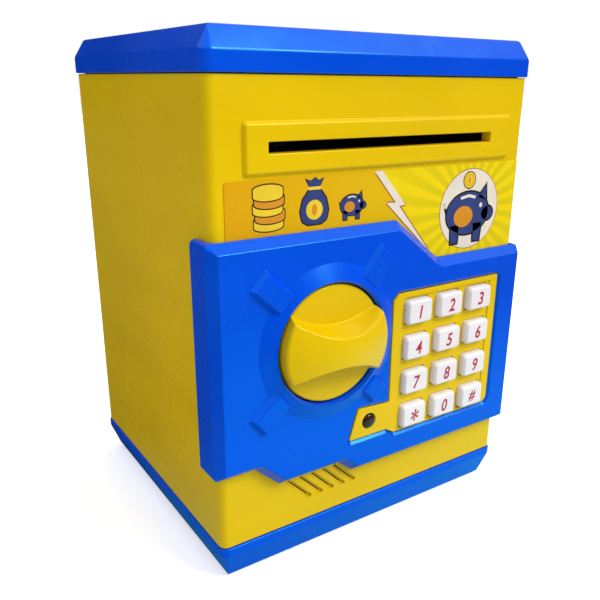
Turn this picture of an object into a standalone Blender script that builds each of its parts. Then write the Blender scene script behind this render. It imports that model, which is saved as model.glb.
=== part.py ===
"""Toy cash-machine savings bank: a moulded two-colour box with a keypad door, a turning latch knob,
a motor-driven note feed behind the slot, a coin slot in the lid and a battery bay underneath.

Lengths are in millimetres, measured from the middle of the body's footprint at table height.
+X is the right-hand side seen from the front, -Y is the front and +Z is up.
The last step scales everything to metres and moves the origin to the middle of the whole footprint.
"""

import math

import bmesh
import bpy
from mathutils import Vector

MM = 0.001

# ---------------------------------------------------------------- driving dimensions
TOTAL_HEIGHT = 190.0
BODY_WIDTH = 138.0
BODY_DEPTH = 124.0
BODY_BOTTOM = 15.4
BODY_TOP = 176.5
WALL = 2.4
CORNER_RADIUS = 3.0
GAP = 0.3
SHAFT_GAP = 0.15

SIDE = BODY_WIDTH / 2
FRONT = -BODY_DEPTH / 2
INNER_FRONT = FRONT + WALL

LID_OVERHANG = 0.9
LID_BAND_TOP = 183.0
LID_SLOPE_INSET = 4.3
LID_SKIRT_DEPTH = 4.5
BASE_PROUD = 0.5
BASE_BAND_BOTTOM = 11.8
BASE_INSET = 4.2
BASE_BOTTOM = 0.8
BASE_TOP = BODY_BOTTOM - GAP

MONEY_FLOOR = 40.0
MONEY_FLOOR_THICK = 1.8

DOOR_CLEARANCE = 0.4
DOOR_FRONT = FRONT - 5.0
DOOR_BACK = FRONT - DOOR_CLEARANCE
DOOR_PLATE = 2.4
DOOR_CHAMFER = 3.0
DOOR_CHAMFER_DEPTH = 3.6
DOOR_LEFT, DOOR_RIGHT = -72.0, 71.0
DOOR_LOW, DOOR_HIGH = 30.8, 127.5
DOOR_LEFT_LOW, DOOR_RIGHT_HIGH = 45.0, 111.0
DOOR_WRAP_BACK = -53.0

HINGE_X, HINGE_Y = 71.9, -54.9
BARREL_RADIUS = 2.4
HINGE_PIN_RADIUS = 1.0
BARREL_LOW, BARREL_HIGH = 40.4, 101.6
EAR_THICK = 4.6
LOWER_EAR = BARREL_LOW - GAP - EAR_THICK
UPPER_EAR = BARREL_HIGH + GAP
PIN_DEPTH = 8.0

KNOB_X, KNOB_Z = -27.0, 88.0
KNOB_RADIUS = 21.5
KNOB_FRONT = FRONT - 17.0
RIDGE_TILT = -3.0
KNOB_SHAFT_RADIUS = 4.0
LATCH_THROW = 6.0
CRANK_RADIUS = LATCH_THROW
CRANK_START = math.radians(-60.0)

BOLT_FRONT, BOLT_BACK = -55.7, -53.5
BOLT_TIP = -57.4
BOLT_LOW, BOLT_HIGH = 80.0, 86.0

KEY_WIDTH, KEY_HEIGHT = 12.6, 9.8
KEY_COLUMNS = (13.6, 29.8, 45.9)
KEY_ROWS = (92.6, 78.2, 63.8, 49.4)
KEY_FACE = FRONT - 7.0
KEY_TRAVEL = 1.0
KEY_NAMES = ("key_1", "key_2", "key_3", "key_4", "key_5", "key_6",
             "key_7", "key_8", "key_9", "key_star", "key_0", "key_hash")

SLOT_LEFT, SLOT_RIGHT = -48.8, 49.1
SLOT_LOW, SLOT_HIGH = 153.3, 156.9

DRIVE_Y, DRIVE_Z = -45.0, 147.0
DRIVE_RADIUS = 8.0
PINCH_RADIUS = 5.0
PINCH_Z = DRIVE_Z + DRIVE_RADIUS + PINCH_RADIUS + GAP
AXLE_RADIUS = 1.4
ROLLER_OFFSET = 22.0
GEAR_BACKLASH = 0.2
ROLLER_TEETH, SMALL_TEETH, LARGE_TEETH, PINION_TEETH = 20, 10, 24, 10

TRANSFER_ANGLE = math.radians(-60)
PINION_ANGLE = math.radians(-10)
TRANSFER_DISTANCE = (ROLLER_TEETH + SMALL_TEETH) / 2 + GEAR_BACKLASH
PINION_DISTANCE = (LARGE_TEETH + PINION_TEETH) / 2 + GEAR_BACKLASH
TRANSFER_Y = DRIVE_Y + TRANSFER_DISTANCE * math.cos(TRANSFER_ANGLE)
TRANSFER_Z = DRIVE_Z + TRANSFER_DISTANCE * math.sin(TRANSFER_ANGLE)
MOTOR_Y = TRANSFER_Y + PINION_DISTANCE * math.cos(PINION_ANGLE)
MOTOR_Z = TRANSFER_Z + PINION_DISTANCE * math.sin(PINION_ANGLE)

ROLLER_GEAR_X = (-63.4, -60.0)
LARGE_GEAR_X = (-59.6, -56.6)
SMALL_GEAR_X = (-63.4, -59.0)

LED_X, LED_Z, LED_RADIUS = -7.7, 51.8, 2.8

CELL_RADIUS, CELL_LENGTH = 7.0, 50.0
CELL_PITCH = 14.6
CELL_Z = 10.2
BAY_CENTRE_Y = 18.5
BAY_HALF_X, BAY_HALF_Y = 28.6, 24.8
CELLS_Y = BAY_CENTRE_Y + 2.8
COVER_SCREW_Y = BAY_CENTRE_Y - BAY_HALF_Y + 2.7
BAY_CEILING = 17.6

FOOT_X, FOOT_Y = 47.0, 40.0
SCREW_X, SCREW_Y = 57.0, 50.0

COIN_SLOT_LENGTH, COIN_SLOT_WIDTH, COIN_SLOT_Y = 30.0, 3.2, 14.0

# The overall footprint, from the door's left side to the hinge and from the knob to the lid's back edge.
ORIGIN_X = (HINGE_X + BARREL_RADIUS + DOOR_LEFT) / 2
ORIGIN_Y = (KNOB_FRONT + BODY_DEPTH / 2 + LID_OVERHANG) / 2

# Where each rigid body turns or slides, and the body that carries it.
PIVOTS = {
    "bank": (ORIGIN_X, ORIGIN_Y, 0.0),
    "door": (HINGE_X, HINGE_Y, (BARREL_LOW + BARREL_HIGH) / 2),
    "knob": (KNOB_X, DOOR_FRONT, KNOB_Z),
    "latch_bolt": (BOLT_TIP, BOLT_BACK, KNOB_Z - CRANK_RADIUS),
    "drive_train": (0.0, DRIVE_Y, DRIVE_Z),
    "pinch_train": (0.0, DRIVE_Y, PINCH_Z),
    "transfer_gear": (LARGE_GEAR_X[0], TRANSFER_Y, TRANSFER_Z),
    "motor_pinion": (LARGE_GEAR_X[0], MOTOR_Y, MOTOR_Z),
    "battery_cover": (0.0, BAY_CENTRE_Y, BASE_BOTTOM),
}
KEY_CENTRES = [(x, z) for z in KEY_ROWS for x in KEY_COLUMNS]
PIVOTS.update({name: (x, KEY_FACE, z) for name, (x, z) in zip(KEY_NAMES, KEY_CENTRES)})
PARENTS = {body: "bank" for body in PIVOTS if body != "bank"}
PARENTS.update({body: "door" for body in ("knob", "latch_bolt", *KEY_NAMES)})


# ---------------------------------------------------------------- outlines
def rectangle(left, right, low, high):
    return [(left, low), (right, low), (right, high), (left, high)]


def rounded_rectangle(width, depth, radius, steps=4, centre=(0.0, 0.0)):
    points = []
    for quarter in range(4):
        sign_x = 1 if quarter in (0, 3) else -1
        sign_y = 1 if quarter in (0, 1) else -1
        middle_x = centre[0] + sign_x * (width / 2 - radius)
        middle_y = centre[1] + sign_y * (depth / 2 - radius)
        for step in range(steps + 1):
            angle = math.pi / 2 * (quarter + step / steps)
            points.append((middle_x + radius * math.cos(angle), middle_y + radius * math.sin(angle)))
    return points


def footprint(outset, radius):
    """The body's outline seen from above, grown by outset, with corners of the given radius."""
    return rounded_rectangle(BODY_WIDTH + 2 * outset, BODY_DEPTH + 2 * outset, radius)


def circle(radius, count, centre=(0.0, 0.0)):
    turn = 2 * math.pi / count
    return [
        (centre[0] + radius * math.cos(turn * i), centre[1] + radius * math.sin(turn * i))
        for i in range(count)
    ]


def inset(outline, distance):
    """The outline moved inwards by distance along every edge, with mitred corners."""
    area = sum(a[0] * b[1] - b[0] * a[1] for a, b in zip(outline, outline[1:] + outline[:1]))
    inward = distance if area > 0 else -distance
    moved = []
    for before, here, after in zip(outline[-1:] + outline[:-1], outline, outline[1:] + outline[:1]):
        first = edge_normal(before, here)
        second = edge_normal(here, after)
        spread = 1 + first[0] * second[0] + first[1] * second[1]
        moved.append((
            here[0] + inward * (first[0] + second[0]) / spread,
            here[1] + inward * (first[1] + second[1]) / spread,
        ))
    return moved


def edge_normal(start, end):
    length = math.hypot(end[0] - start[0], end[1] - start[1])
    return (start[1] - end[1]) / length, (end[0] - start[0]) / length


def turned(outline, degrees, centre):
    cosine, sine = math.cos(math.radians(degrees)), math.sin(math.radians(degrees))
    return [
        (
            centre[0] + (u - centre[0]) * cosine - (v - centre[1]) * sine,
            centre[1] + (u - centre[0]) * sine + (v - centre[1]) * cosine,
        )
        for u, v in outline
    ]


def gear(teeth, centre, tooth_angle):
    """A module 1 gear with straight-sided teeth and room for backlash; one tooth points along tooth_angle."""
    pitch_radius = teeth / 2
    root, tip = pitch_radius - 1.25, pitch_radius + 0.85
    root_share, tip_share = 0.25, 0.09
    points = []
    for tooth in range(teeth):
        middle = tooth_angle + 2 * math.pi * tooth / teeth
        flanks = ((root, -root_share), (tip, -tip_share), (tip, tip_share), (root, root_share))
        for radius, share in flanks:
            angle = middle + share * 2 * math.pi / teeth
            points.append((centre[0] + radius * math.cos(angle), centre[1] + radius * math.sin(angle)))
    return points


# ---------------------------------------------------------------- solids
def place(axis, u, v, level):
    """A point of an outline at a level along the axis: outlines are (x, y), (x, z) or (y, z)."""
    if axis == "Z":
        return u, v, level
    if axis == "Y":
        return u, level, v
    return level, u, v


def loft(axis, sections):
    """A closed solid through (outline, level) sections with the same number of points each."""
    mesh = bmesh.new()
    rings = [[mesh.verts.new(place(axis, u, v, level)) for u, v in outline] for outline, level in sections]
    for lower, upper in zip(rings, rings[1:]):
        for i in range(len(lower)):
            j = (i + 1) % len(lower)
            mesh.faces.new((lower[i], lower[j], upper[j], upper[i]))
    mesh.faces.new(rings[0])
    mesh.faces.new(rings[-1])
    bmesh.ops.recalc_face_normals(mesh, faces=mesh.faces)
    data = bpy.data.meshes.new("solid")
    mesh.to_mesh(data)
    mesh.free()
    made = bpy.data.objects.new("solid", data)
    bpy.context.scene.collection.objects.link(made)
    return made


def prism(axis, outline, low, high):
    return loft(axis, [(outline, low), (outline, high)])


def box(left, right, front, back, low, high):
    return prism("Z", rectangle(left, right, front, back), low, high)


def rod(axis, centre, radius, low, high, count=12):
    return prism(axis, circle(radius, count, centre), low, high)


def combine(operation, base, others):
    for other in others:
        step = base.modifiers.new("combine", "BOOLEAN")
        step.operation = operation
        step.solver = "EXACT"
        step.object = other
        bpy.context.view_layer.update()
        evaluated = base.evaluated_get(bpy.context.evaluated_depsgraph_get())
        result = bpy.data.meshes.new_from_object(evaluated)
        base.modifiers.clear()
        base.data = result
        bpy.data.objects.remove(other, do_unlink=True)
    return base


def union(base, *others):
    return combine("UNION", base, others)


def minus(base, *others):
    return combine("DIFFERENCE", base, others)


def common(base, other):
    return combine("INTERSECT", base, [other])


def in_metres(point):
    """A point in millimetres from the middle of the body, as metres from the shared origin."""
    x, y, z = point
    return Vector(((x - ORIGIN_X) * MM, (y - ORIGIN_Y) * MM, z * MM))


def finish(name, made, material, body):
    """Names the sub-part, gives it its material and hangs it on its body's pivot, with its origin there."""
    pivot = in_metres(PIVOTS[body])
    for vertex in made.data.vertices:
        vertex.co = in_metres(vertex.co) - pivot
    made.name = name
    made.data.name = name
    made.data.materials.clear()
    made.data.materials.append(bpy.data.materials[material])
    made.parent = bpy.data.objects[f"{body}_pivot"]


def make_pivots():
    """One empty for each rigid body, on its joint's axis; a child's empty hangs on its parent's."""
    for body, point in PIVOTS.items():
        empty = bpy.data.objects.new(f"{body}_pivot", None)
        empty.empty_display_size = 0.01
        bpy.context.scene.collection.objects.link(empty)
        parent = PARENTS.get(body)
        if parent:
            empty.parent = bpy.data.objects[f"{parent}_pivot"]
            empty.location = in_metres(point) - in_metres(PIVOTS[parent])
        else:
            empty.location = in_metres(point)


# ---------------------------------------------------------------- materials
# name: (colour, roughness, metallic)
FINISHES = {
    "yellow_plastic": ((0.83, 0.60, 0.0), 0.28, 0.0),
    "blue_plastic": ((0.0, 0.09, 0.72), 0.26, 0.0),
    "key_plastic": ((0.84, 0.80, 0.86), 0.35, 0.0),
    "banner_paper": ((0.85, 0.50, 0.02), 0.40, 0.0),
    "lamp_lens": ((0.16, 0.03, 0.01), 0.15, 0.0),
    "black_plastic": ((0.02, 0.02, 0.02), 0.45, 0.0),
    "gear_plastic": ((0.80, 0.79, 0.74), 0.45, 0.0),
    "circuit_board": ((0.02, 0.20, 0.07), 0.40, 0.0),
    "steel": ((0.60, 0.60, 0.61), 0.30, 1.0),
    "rubber": ((0.03, 0.03, 0.03), 0.85, 0.0),
    "cell_wrap": ((0.03, 0.03, 0.04), 0.35, 0.3),
}


def make_materials():
    for name, (colour, roughness, metallic) in FINISHES.items():
        material = bpy.data.materials.new(name)
        material.use_nodes = True
        surface = material.node_tree.nodes["Principled BSDF"]
        surface.inputs["Base Color"].default_value = (*colour, 1.0)
        surface.inputs["Roughness"].default_value = roughness
        surface.inputs["Metallic"].default_value = metallic
        material.diffuse_color = (*colour, 1.0)


# ---------------------------------------------------------------- body, lid and base
DOOR_OUTLINE = [
    (DOOR_LEFT, DOOR_LEFT_LOW), (DOOR_LEFT, DOOR_HIGH), (4.0, DOOR_HIGH), (25.3, DOOR_RIGHT_HIGH),
    (DOOR_RIGHT, DOOR_RIGHT_HIGH), (DOOR_RIGHT, DOOR_LOW), (-13.3, DOOR_LOW), (-19.6, 36.0),
    (-46.2, 36.0), (-56.0, DOOR_LEFT_LOW),
]
OPENING = (-60.0, 60.0, 46.0, 106.0)
VENT_STARTS = (-41.1, -35.8, -30.6, -25.3, -20.2)
VENT_TOP, VENT_DROP, VENT_WIDTH = 33.8, 8.6, 2.0
BEZEL_WINDOW = (-50.6, 50.9, 150.6, 159.4)
SOFT_CORNER = 1.0
LID_SKIRT_CORNER = 4.3
POST_RADIUS = 4.5
SCREW_RADIUS = 1.5


def vent_cutter(start):
    run = [
        (start, VENT_TOP), (start + VENT_WIDTH, VENT_TOP),
        (start + VENT_DROP + VENT_WIDTH, VENT_TOP - VENT_DROP), (start + VENT_DROP, VENT_TOP - VENT_DROP),
    ]
    return prism("Y", run, FRONT - 1, INNER_FRONT + 1)


def hinge_ear(low):
    front, back = HINGE_Y - BARREL_RADIUS, HINGE_Y + BARREL_RADIUS
    arm = box(SIDE - WALL / 2, HINGE_X, front, back, low, low + EAR_THICK)
    return union(arm, rod("Z", (HINGE_X, HINGE_Y), BARREL_RADIUS, low, low + EAR_THICK, 16))


def body_shell():
    shell = prism("Z", footprint(0.0, CORNER_RADIUS), BODY_BOTTOM, BODY_TOP)
    inner = footprint(-WALL, CORNER_RADIUS - WALL)
    minus(shell, prism("Z", inner, MONEY_FLOOR + MONEY_FLOOR_THICK, BODY_TOP + 1))
    minus(shell, prism("Z", inner, BODY_BOTTOM - 1, MONEY_FLOOR))
    for x in (-SCREW_X, SCREW_X):
        for y in (-SCREW_Y, SCREW_Y):
            union(shell, rod("Z", (x, y), POST_RADIUS, BODY_BOTTOM, MONEY_FLOOR + 1))
            minus(shell, rod("Z", (x, y), SCREW_RADIUS + SHAFT_GAP, BODY_BOTTOM - 1, BODY_BOTTOM + 15))
    left, right, low, high = OPENING
    minus(shell, box(left, right, FRONT - 1, INNER_FRONT + 1, low, high))
    left, right, low, high = BEZEL_WINDOW
    minus(shell, box(left, right, FRONT - 1, INNER_FRONT + 1, low, high))
    minus(shell, *[vent_cutter(start) for start in VENT_STARTS])
    for low in (LOWER_EAR, UPPER_EAR):
        union(shell, hinge_ear(low))
        pin_hole = (HINGE_X, HINGE_Y)
        minus(shell, rod("Z", pin_hole, HINGE_PIN_RADIUS + SHAFT_GAP, low - 1, low + EAR_THICK + 1))
    finish("body_shell", shell, "yellow_plastic", "bank")


def top_lid():
    outer = footprint(LID_OVERHANG, CORNER_RADIUS + LID_OVERHANG)
    upper = footprint(LID_OVERHANG - LID_SLOPE_INSET, SOFT_CORNER)
    bottom = BODY_TOP + GAP
    lid = loft("Z", [(outer, bottom), (outer, LID_BAND_TOP), (upper, TOTAL_HEIGHT)])
    hollow_inset = WALL + 1.2
    hollow = footprint(-hollow_inset, SOFT_CORNER)
    hollow_top = footprint(-hollow_inset - LID_SLOPE_INSET, SOFT_CORNER)
    minus(lid, loft("Z", [
        (hollow, bottom - 1), (hollow, LID_BAND_TOP - 1), (hollow_top, TOTAL_HEIGHT - WALL),
    ]))
    skirt_low = BODY_TOP - LID_SKIRT_DEPTH
    skirt = footprint(-WALL - GAP, LID_SKIRT_CORNER)
    ring = prism("Z", skirt, skirt_low, bottom + 2)
    minus(ring, prism("Z", inset(skirt, 1.6), skirt_low - 1, bottom + 3))
    union(lid, ring)
    half = COIN_SLOT_LENGTH / 2
    half_width = COIN_SLOT_WIDTH / 2
    front, back = COIN_SLOT_Y - half_width, COIN_SLOT_Y + half_width
    minus(lid, box(-half, half, front, back, LID_BAND_TOP - 1, TOTAL_HEIGHT + 1))
    finish("top_lid", lid, "blue_plastic", "bank")


def base_tray():
    outer = footprint(BASE_PROUD, CORNER_RADIUS + BASE_PROUD)
    lower = footprint(BASE_PROUD - BASE_INSET, SOFT_CORNER)
    tray = loft("Z", [(lower, BASE_BOTTOM), (outer, BASE_BAND_BOTTOM), (outer, BASE_TOP)])
    hollow = footprint(BASE_PROUD - BASE_INSET - WALL, SOFT_CORNER)
    minus(tray, prism("Z", hollow, BASE_BOTTOM + WALL, BASE_TOP + 1))
    bay_wall = 1.6
    back, front = BAY_CENTRE_Y + BAY_HALF_Y, BAY_CENTRE_Y - BAY_HALF_Y
    union(tray, box(-BAY_HALF_X - bay_wall, BAY_HALF_X + bay_wall, front - bay_wall, back + bay_wall,
                    BASE_BOTTOM + 1, BAY_CEILING + bay_wall))
    minus(tray, box(-BAY_HALF_X, BAY_HALF_X, front, back, BASE_BOTTOM - 1, BAY_CEILING))
    screw_ledge = box(-7, 7, front - 0.5, front + 5.4, 4.2, 8.2)
    union(tray, screw_ledge)
    minus(tray, rod("Z", (0, COVER_SCREW_Y), 1.15, 3, 9))
    for x in (-1, 1):
        for y in (-1, 1):
            foot, screw = (x * FOOT_X, y * FOOT_Y), (x * SCREW_X, y * SCREW_Y)
            union(tray, rod("Z", foot, 7.4, BASE_BOTTOM + 1, 5.2, 16))
            minus(tray, rod("Z", foot, 5.3, BASE_BOTTOM - 1, 3.2, 16))
            union(tray, rod("Z", screw, 5.2, BASE_BOTTOM + 1, BASE_TOP))
            minus(tray, rod("Z", screw, SCREW_RADIUS + SHAFT_GAP, BASE_BOTTOM - 1, BASE_TOP + 1))
            minus(tray, rod("Z", screw, 3.3, BASE_BOTTOM - 1, 5.0))
    finish("base_tray", tray, "blue_plastic", "bank")


def base_screws():
    number = 0
    for y in (-SCREW_Y, SCREW_Y):
        for x in (-SCREW_X, SCREW_X):
            number += 1
            shank = rod("Z", (x, y), SCREW_RADIUS, 4.0, BODY_BOTTOM + 13)
            head = rod("Z", (x, y), 3.0, 2.4, 4.7)
            union(head, shank)
            minus(head, box(x - 2.0, x + 2.0, y - 0.4, y + 0.4, 2.0, 3.4))
            finish(f"base_screw_{number}", head, "steel", "bank")


def rubber_feet():
    number = 0
    for y in (-FOOT_Y, FOOT_Y):
        for x in (-FOOT_X, FOOT_X):
            number += 1
            rim, lower = circle(5.0, 16, (x, y)), circle(4.4, 16, (x, y))
            foot = loft("Z", [(lower, 0.0), (rim, 0.6), (rim, 2.9)])
            finish(f"rubber_foot_{number}", foot, "rubber", "bank")


def slot_bezel():
    outline = rectangle(-57.5, 60.6, 146.5, 163.3)
    face = loft("Y", [(inset(outline, 0.8), FRONT - 1.5), (outline, FRONT - 0.7), (outline, FRONT - 0.3)])
    left, right, low, high = BEZEL_WINDOW
    sleeve = rectangle(left + GAP, right - GAP, low + GAP, high - GAP)
    union(face, prism("Y", sleeve, FRONT - 0.6, INNER_FRONT + 0.6))
    minus(face, box(SLOT_LEFT, SLOT_RIGHT, FRONT - 3, INNER_FRONT + 2, SLOT_LOW, SLOT_HIGH))
    finish("slot_bezel", face, "yellow_plastic", "bank")


def banner_label():
    """The printed sticker: a thin shell following the body's front and its rounded front corners."""
    thin, lift = 0.2, 0.05
    outside = footprint(thin + lift, CORNER_RADIUS + thin + lift)
    inside = footprint(lift, CORNER_RADIUS + lift)
    ring = prism("Z", outside, 105, 150)
    minus(ring, prism("Z", inside, 104, 151))
    shape = [(-64.0, 126.8), (-64.0, 145.5), (68.0, 145.5), (68.0, 110.3), (25.0, 110.3), (3.7, 126.8)]
    label = common(ring, prism("Y", shape, FRONT - 2, FRONT + 8))
    finish("banner_label", label, "banner_paper", "bank")


# ---------------------------------------------------------------- door
BOSS_RADIUS = 28.0
BOSS_FRONT = DOOR_FRONT - 2.4
BOSS_SLOPE = 4.6
RECESS_RADIUS = KNOB_RADIUS + 0.6
RECESS_FLOOR = DOOR_FRONT + 2.6
SPOKE_ANGLES = (137.0, 51.0, 220.0, 312.0)
SPOKE_REACH = 38.0
SPOKE_WIDTH = 7.5
PANEL_OUTLINE = [
    (-17.0, 45.4), (-13.0, 58.0), (2.0, 57.0), (2.0, 98.0), (4.5, 100.5), (57.5, 100.5),
    (57.5, 45.0), (55.5, 43.0), (5.0, 43.0), (1.0, 45.4),
]
KEY_AREA = (7.0, 53.0, 43.9, 98.4)
PANEL_FRONT = DOOR_FRONT + 0.5
PANEL_BACK = FRONT - 2.7


def knob_spokes():
    spokes = []
    for angle in SPOKE_ANGLES:
        half = SPOKE_WIDTH / 2
        outline = rectangle(KNOB_X + RECESS_RADIUS + 2, KNOB_X + SPOKE_REACH, KNOB_Z - half, KNOB_Z + half)
        shape = turned(outline, angle, (KNOB_X, KNOB_Z))
        spokes.append(loft("Y", [(inset(shape, 0.9), BOSS_FRONT + 0.2), (shape, DOOR_FRONT + 0.5)]))
    return spokes


def door_shell():
    outline = DOOR_OUTLINE
    shell = loft("Y", [
        (inset(outline, DOOR_CHAMFER), DOOR_FRONT),
        (outline, DOOR_FRONT + DOOR_CHAMFER_DEPTH),
        (outline, DOOR_BACK),
    ])
    knob_centre = (KNOB_X, KNOB_Z)
    hollow = prism("Y", inset(outline, DOOR_CHAMFER + 0.4), DOOR_FRONT + DOOR_PLATE, DOOR_BACK + 1)
    minus(hollow, rod("Y", knob_centre, RECESS_RADIUS + 2.2, DOOR_FRONT, DOOR_BACK + 2, 32))
    minus(hollow, prism("Y", inset(PANEL_OUTLINE, -GAP - 1.6), DOOR_FRONT, DOOR_BACK + 2))
    minus(shell, hollow)
    inner_left, inner_right = -SIDE - DOOR_CLEARANCE, SIDE + DOOR_CLEARANCE
    wrap_front = DOOR_BACK - 1
    left_wrap = box(DOOR_LEFT, inner_left, wrap_front, DOOR_WRAP_BACK, DOOR_LEFT_LOW, DOOR_HIGH)
    right_wrap = box(inner_right, DOOR_RIGHT, wrap_front, HINGE_Y, DOOR_LOW, DOOR_RIGHT_HIGH)
    barrel = rod("Z", (HINGE_X, HINGE_Y), BARREL_RADIUS, BARREL_LOW, BARREL_HIGH, 16)
    union(shell, left_wrap, right_wrap, barrel)
    for ear, hole_low in ((LOWER_EAR, BARREL_LOW - 1), (UPPER_EAR, BARREL_HIGH - PIN_DEPTH - 1)):
        front, back = HINGE_Y - BARREL_RADIUS - 0.9, HINGE_Y + BARREL_RADIUS + 0.6
        minus(shell, box(inner_right - 1, HINGE_X + 4, front, back, ear - GAP, ear + EAR_THICK + GAP))
        hole_radius = HINGE_PIN_RADIUS + SHAFT_GAP
        minus(shell, rod("Z", (HINGE_X, HINGE_Y), hole_radius, hole_low, hole_low + PIN_DEPTH + 2))
    boss_rim = circle(BOSS_RADIUS, 40, knob_centre)
    boss = loft("Y", [(inset(boss_rim, BOSS_SLOPE), BOSS_FRONT), (boss_rim, DOOR_FRONT + 0.5)])
    union(shell, boss, *knob_spokes())
    minus(shell, rod("Y", knob_centre, RECESS_RADIUS, BOSS_FRONT - 1, RECESS_FLOOR, 40))
    minus(shell, rod("Y", knob_centre, KNOB_SHAFT_RADIUS + SHAFT_GAP, DOOR_FRONT - 2, DOOR_BACK + 2, 20))
    minus(shell, prism("Y", inset(PANEL_OUTLINE, -GAP), DOOR_FRONT - 2, DOOR_BACK + 2))
    finish("door_shell", shell, "blue_plastic", "door")


def keypad_bezel():
    panel = prism("Y", PANEL_OUTLINE, PANEL_FRONT, PANEL_BACK)
    left, right, low, high = KEY_AREA
    through = PANEL_FRONT - 1, PANEL_BACK + 1
    minus(panel, box(left, right, PANEL_FRONT - 1, PANEL_FRONT + 0.5, low, high))
    half_x, half_z = KEY_WIDTH / 2 + GAP, KEY_HEIGHT / 2 + GAP
    for x in KEY_COLUMNS:
        for z in KEY_ROWS:
            minus(panel, box(x - half_x, x + half_x, through[0], through[1], z - half_z, z + half_z))
    minus(panel, rod("Y", (LED_X, LED_Z), LED_RADIUS + 0.2, *through, 16))
    finish("keypad_bezel", panel, "yellow_plastic", "door")


def keypad_keys():
    flange_front = PANEL_BACK + GAP
    flange_back = flange_front + 0.8
    board_front = FRONT + 1.7
    stem_back = board_front - KEY_TRAVEL - GAP
    for name, (x, z) in zip(KEY_NAMES, KEY_CENTRES):
        cap = rounded_rectangle(KEY_WIDTH, KEY_HEIGHT, 1.6, 1, (x, z))
        key = loft("Y", [(inset(cap, 0.7), KEY_FACE), (cap, KEY_FACE + 0.7), (cap, flange_front + 0.4)])
        half_x, half_z = KEY_WIDTH / 2 + 0.7, KEY_HEIGHT / 2 + 0.7
        union(key, box(x - half_x, x + half_x, flange_front, flange_back, z - half_z, z + half_z))
        union(key, box(x - 2.5, x + 2.5, flange_back - 0.3, stem_back, z - 1.4, z + 1.4))
        finish(name, key, "key_plastic", name)


def keypad_board():
    front = FRONT + 1.7
    board = box(5.0, 54.0, front, front + 1.4, 48.2, 101.0)
    union(board, box(-12.5, 6.0, front, front + 1.4, 48.2, 57.0))
    union(board, box(24.0, 36.0, front + 1.0, front + 3.4, 68.0, 76.0))
    union(board, box(42.0, 52.0, front + 1.0, front + 5.4, 50.0, 56.0))
    finish("keypad_board", board, "circuit_board", "door")


def status_led():
    centre = (LED_X, LED_Z)
    dome = circle(LED_RADIUS, 16, centre)
    lamp = loft("Y", [
        (inset(dome, 1.5), PANEL_FRONT - 1.1), (inset(dome, 0.5), PANEL_FRONT - 0.7),
        (dome, PANEL_FRONT), (dome, FRONT + 1.3),
    ])
    finish("status_led", lamp, "lamp_lens", "door")


PAN = (-58.0, 56.0, 46.4, 104.0)
PAN_BACK = -49.0
PAN_WALL = 1.4


def door_back_cover():
    left, right, low, high = PAN
    cover = box(left, right, DOOR_BACK + 0.5, PAN_BACK, low, high)
    minus(cover, box(left + PAN_WALL, right - PAN_WALL, DOOR_BACK - 1, PAN_BACK - PAN_WALL,
                     low + PAN_WALL, high - PAN_WALL))
    for rail_low, rail_high in ((BOLT_LOW - 1.9, BOLT_LOW - 0.4), (BOLT_HIGH + 0.4, BOLT_HIGH + 1.9)):
        union(cover, box(-52.0, -42.0, -56.4, PAN_BACK - 0.5, rail_low, rail_high))
    minus(cover, box(left - 1, left + PAN_WALL + 1, -59.7, -53.0, BOLT_LOW - 0.5, BOLT_HIGH + 0.5))
    finish("door_back_cover", cover, "blue_plastic", "door")


def latch_bolt():
    bolt = box(BOLT_TIP, -33.0, BOLT_FRONT, BOLT_BACK, BOLT_LOW, BOLT_HIGH)
    union(bolt, box(BOLT_TIP, -54.0, -59.2, BOLT_FRONT + 0.5, BOLT_LOW, BOLT_HIGH))
    union(bolt, box(-34.0, -17.0, BOLT_FRONT, BOLT_BACK, 78.0, 87.5))
    pin_x = KNOB_X + CRANK_RADIUS * math.cos(CRANK_START)
    slot_half = 1.5 + GAP
    slot_high = KNOB_Z - CRANK_RADIUS * math.cos(math.radians(30)) + slot_half + 0.2
    slot_low = KNOB_Z - CRANK_RADIUS - slot_half - 0.2
    minus(bolt, box(pin_x - slot_half, pin_x + slot_half, BOLT_FRONT - 1, BOLT_BACK + 1, slot_low, slot_high))
    finish("latch_bolt", bolt, "gear_plastic", "latch_bolt")


def knob_ridge():
    """The finger grip left between two scoops: narrow in the middle, flaring to the rim, domed in front."""
    upper = [(18.0, 10.8), (12.0, 8.3), (4.0, 6.2), (-4.0, 6.2), (-12.0, 8.3), (-18.0, 10.8)]
    lower = [(-u, -v) for u, v in upper]
    ends, middle = FRONT - 10.5, FRONT - 15.5

    def section(share_u, share_v):
        outline = [(KNOB_X + share_u * u, KNOB_Z + share_v * v) for u, v in upper + lower]
        return turned(outline, RIDGE_TILT, (KNOB_X, KNOB_Z))

    return loft("Y", [
        (section(0.45, 0.75), KNOB_FRONT), (section(0.72, 0.95), middle),
        (section(1.0, 1.0), ends), (section(1.0, 1.0), FRONT - 4.5),
    ])


def knob():
    centre = (KNOB_X, KNOB_Z)
    rim = circle(KNOB_RADIUS, 40, centre)
    grip = loft("Y", [
        (inset(rim, 2.0), FRONT - 8.6), (inset(rim, 0.6), FRONT - 7.8),
        (rim, FRONT - 6.6), (rim, RECESS_FLOOR - GAP),
    ])
    union(grip, knob_ridge())
    union(grip, rod("Y", centre, KNOB_SHAFT_RADIUS, RECESS_FLOOR - 1, -59.6, 20))
    finish("knob", grip, "yellow_plastic", "knob")


def knob_crank():
    centre = (KNOB_X, KNOB_Z)
    across, up = math.cos(CRANK_START), math.sin(CRANK_START)
    pin = (KNOB_X + CRANK_RADIUS * across, KNOB_Z + CRANK_RADIUS * up)
    disc = rod("Y", centre, 9.0, -59.3, -57.0, 20)
    union(disc, rod("Y", pin, 1.5, -57.5, -52.6, 12))
    finish("knob_crank", disc, "gear_plastic", "knob")


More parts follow.
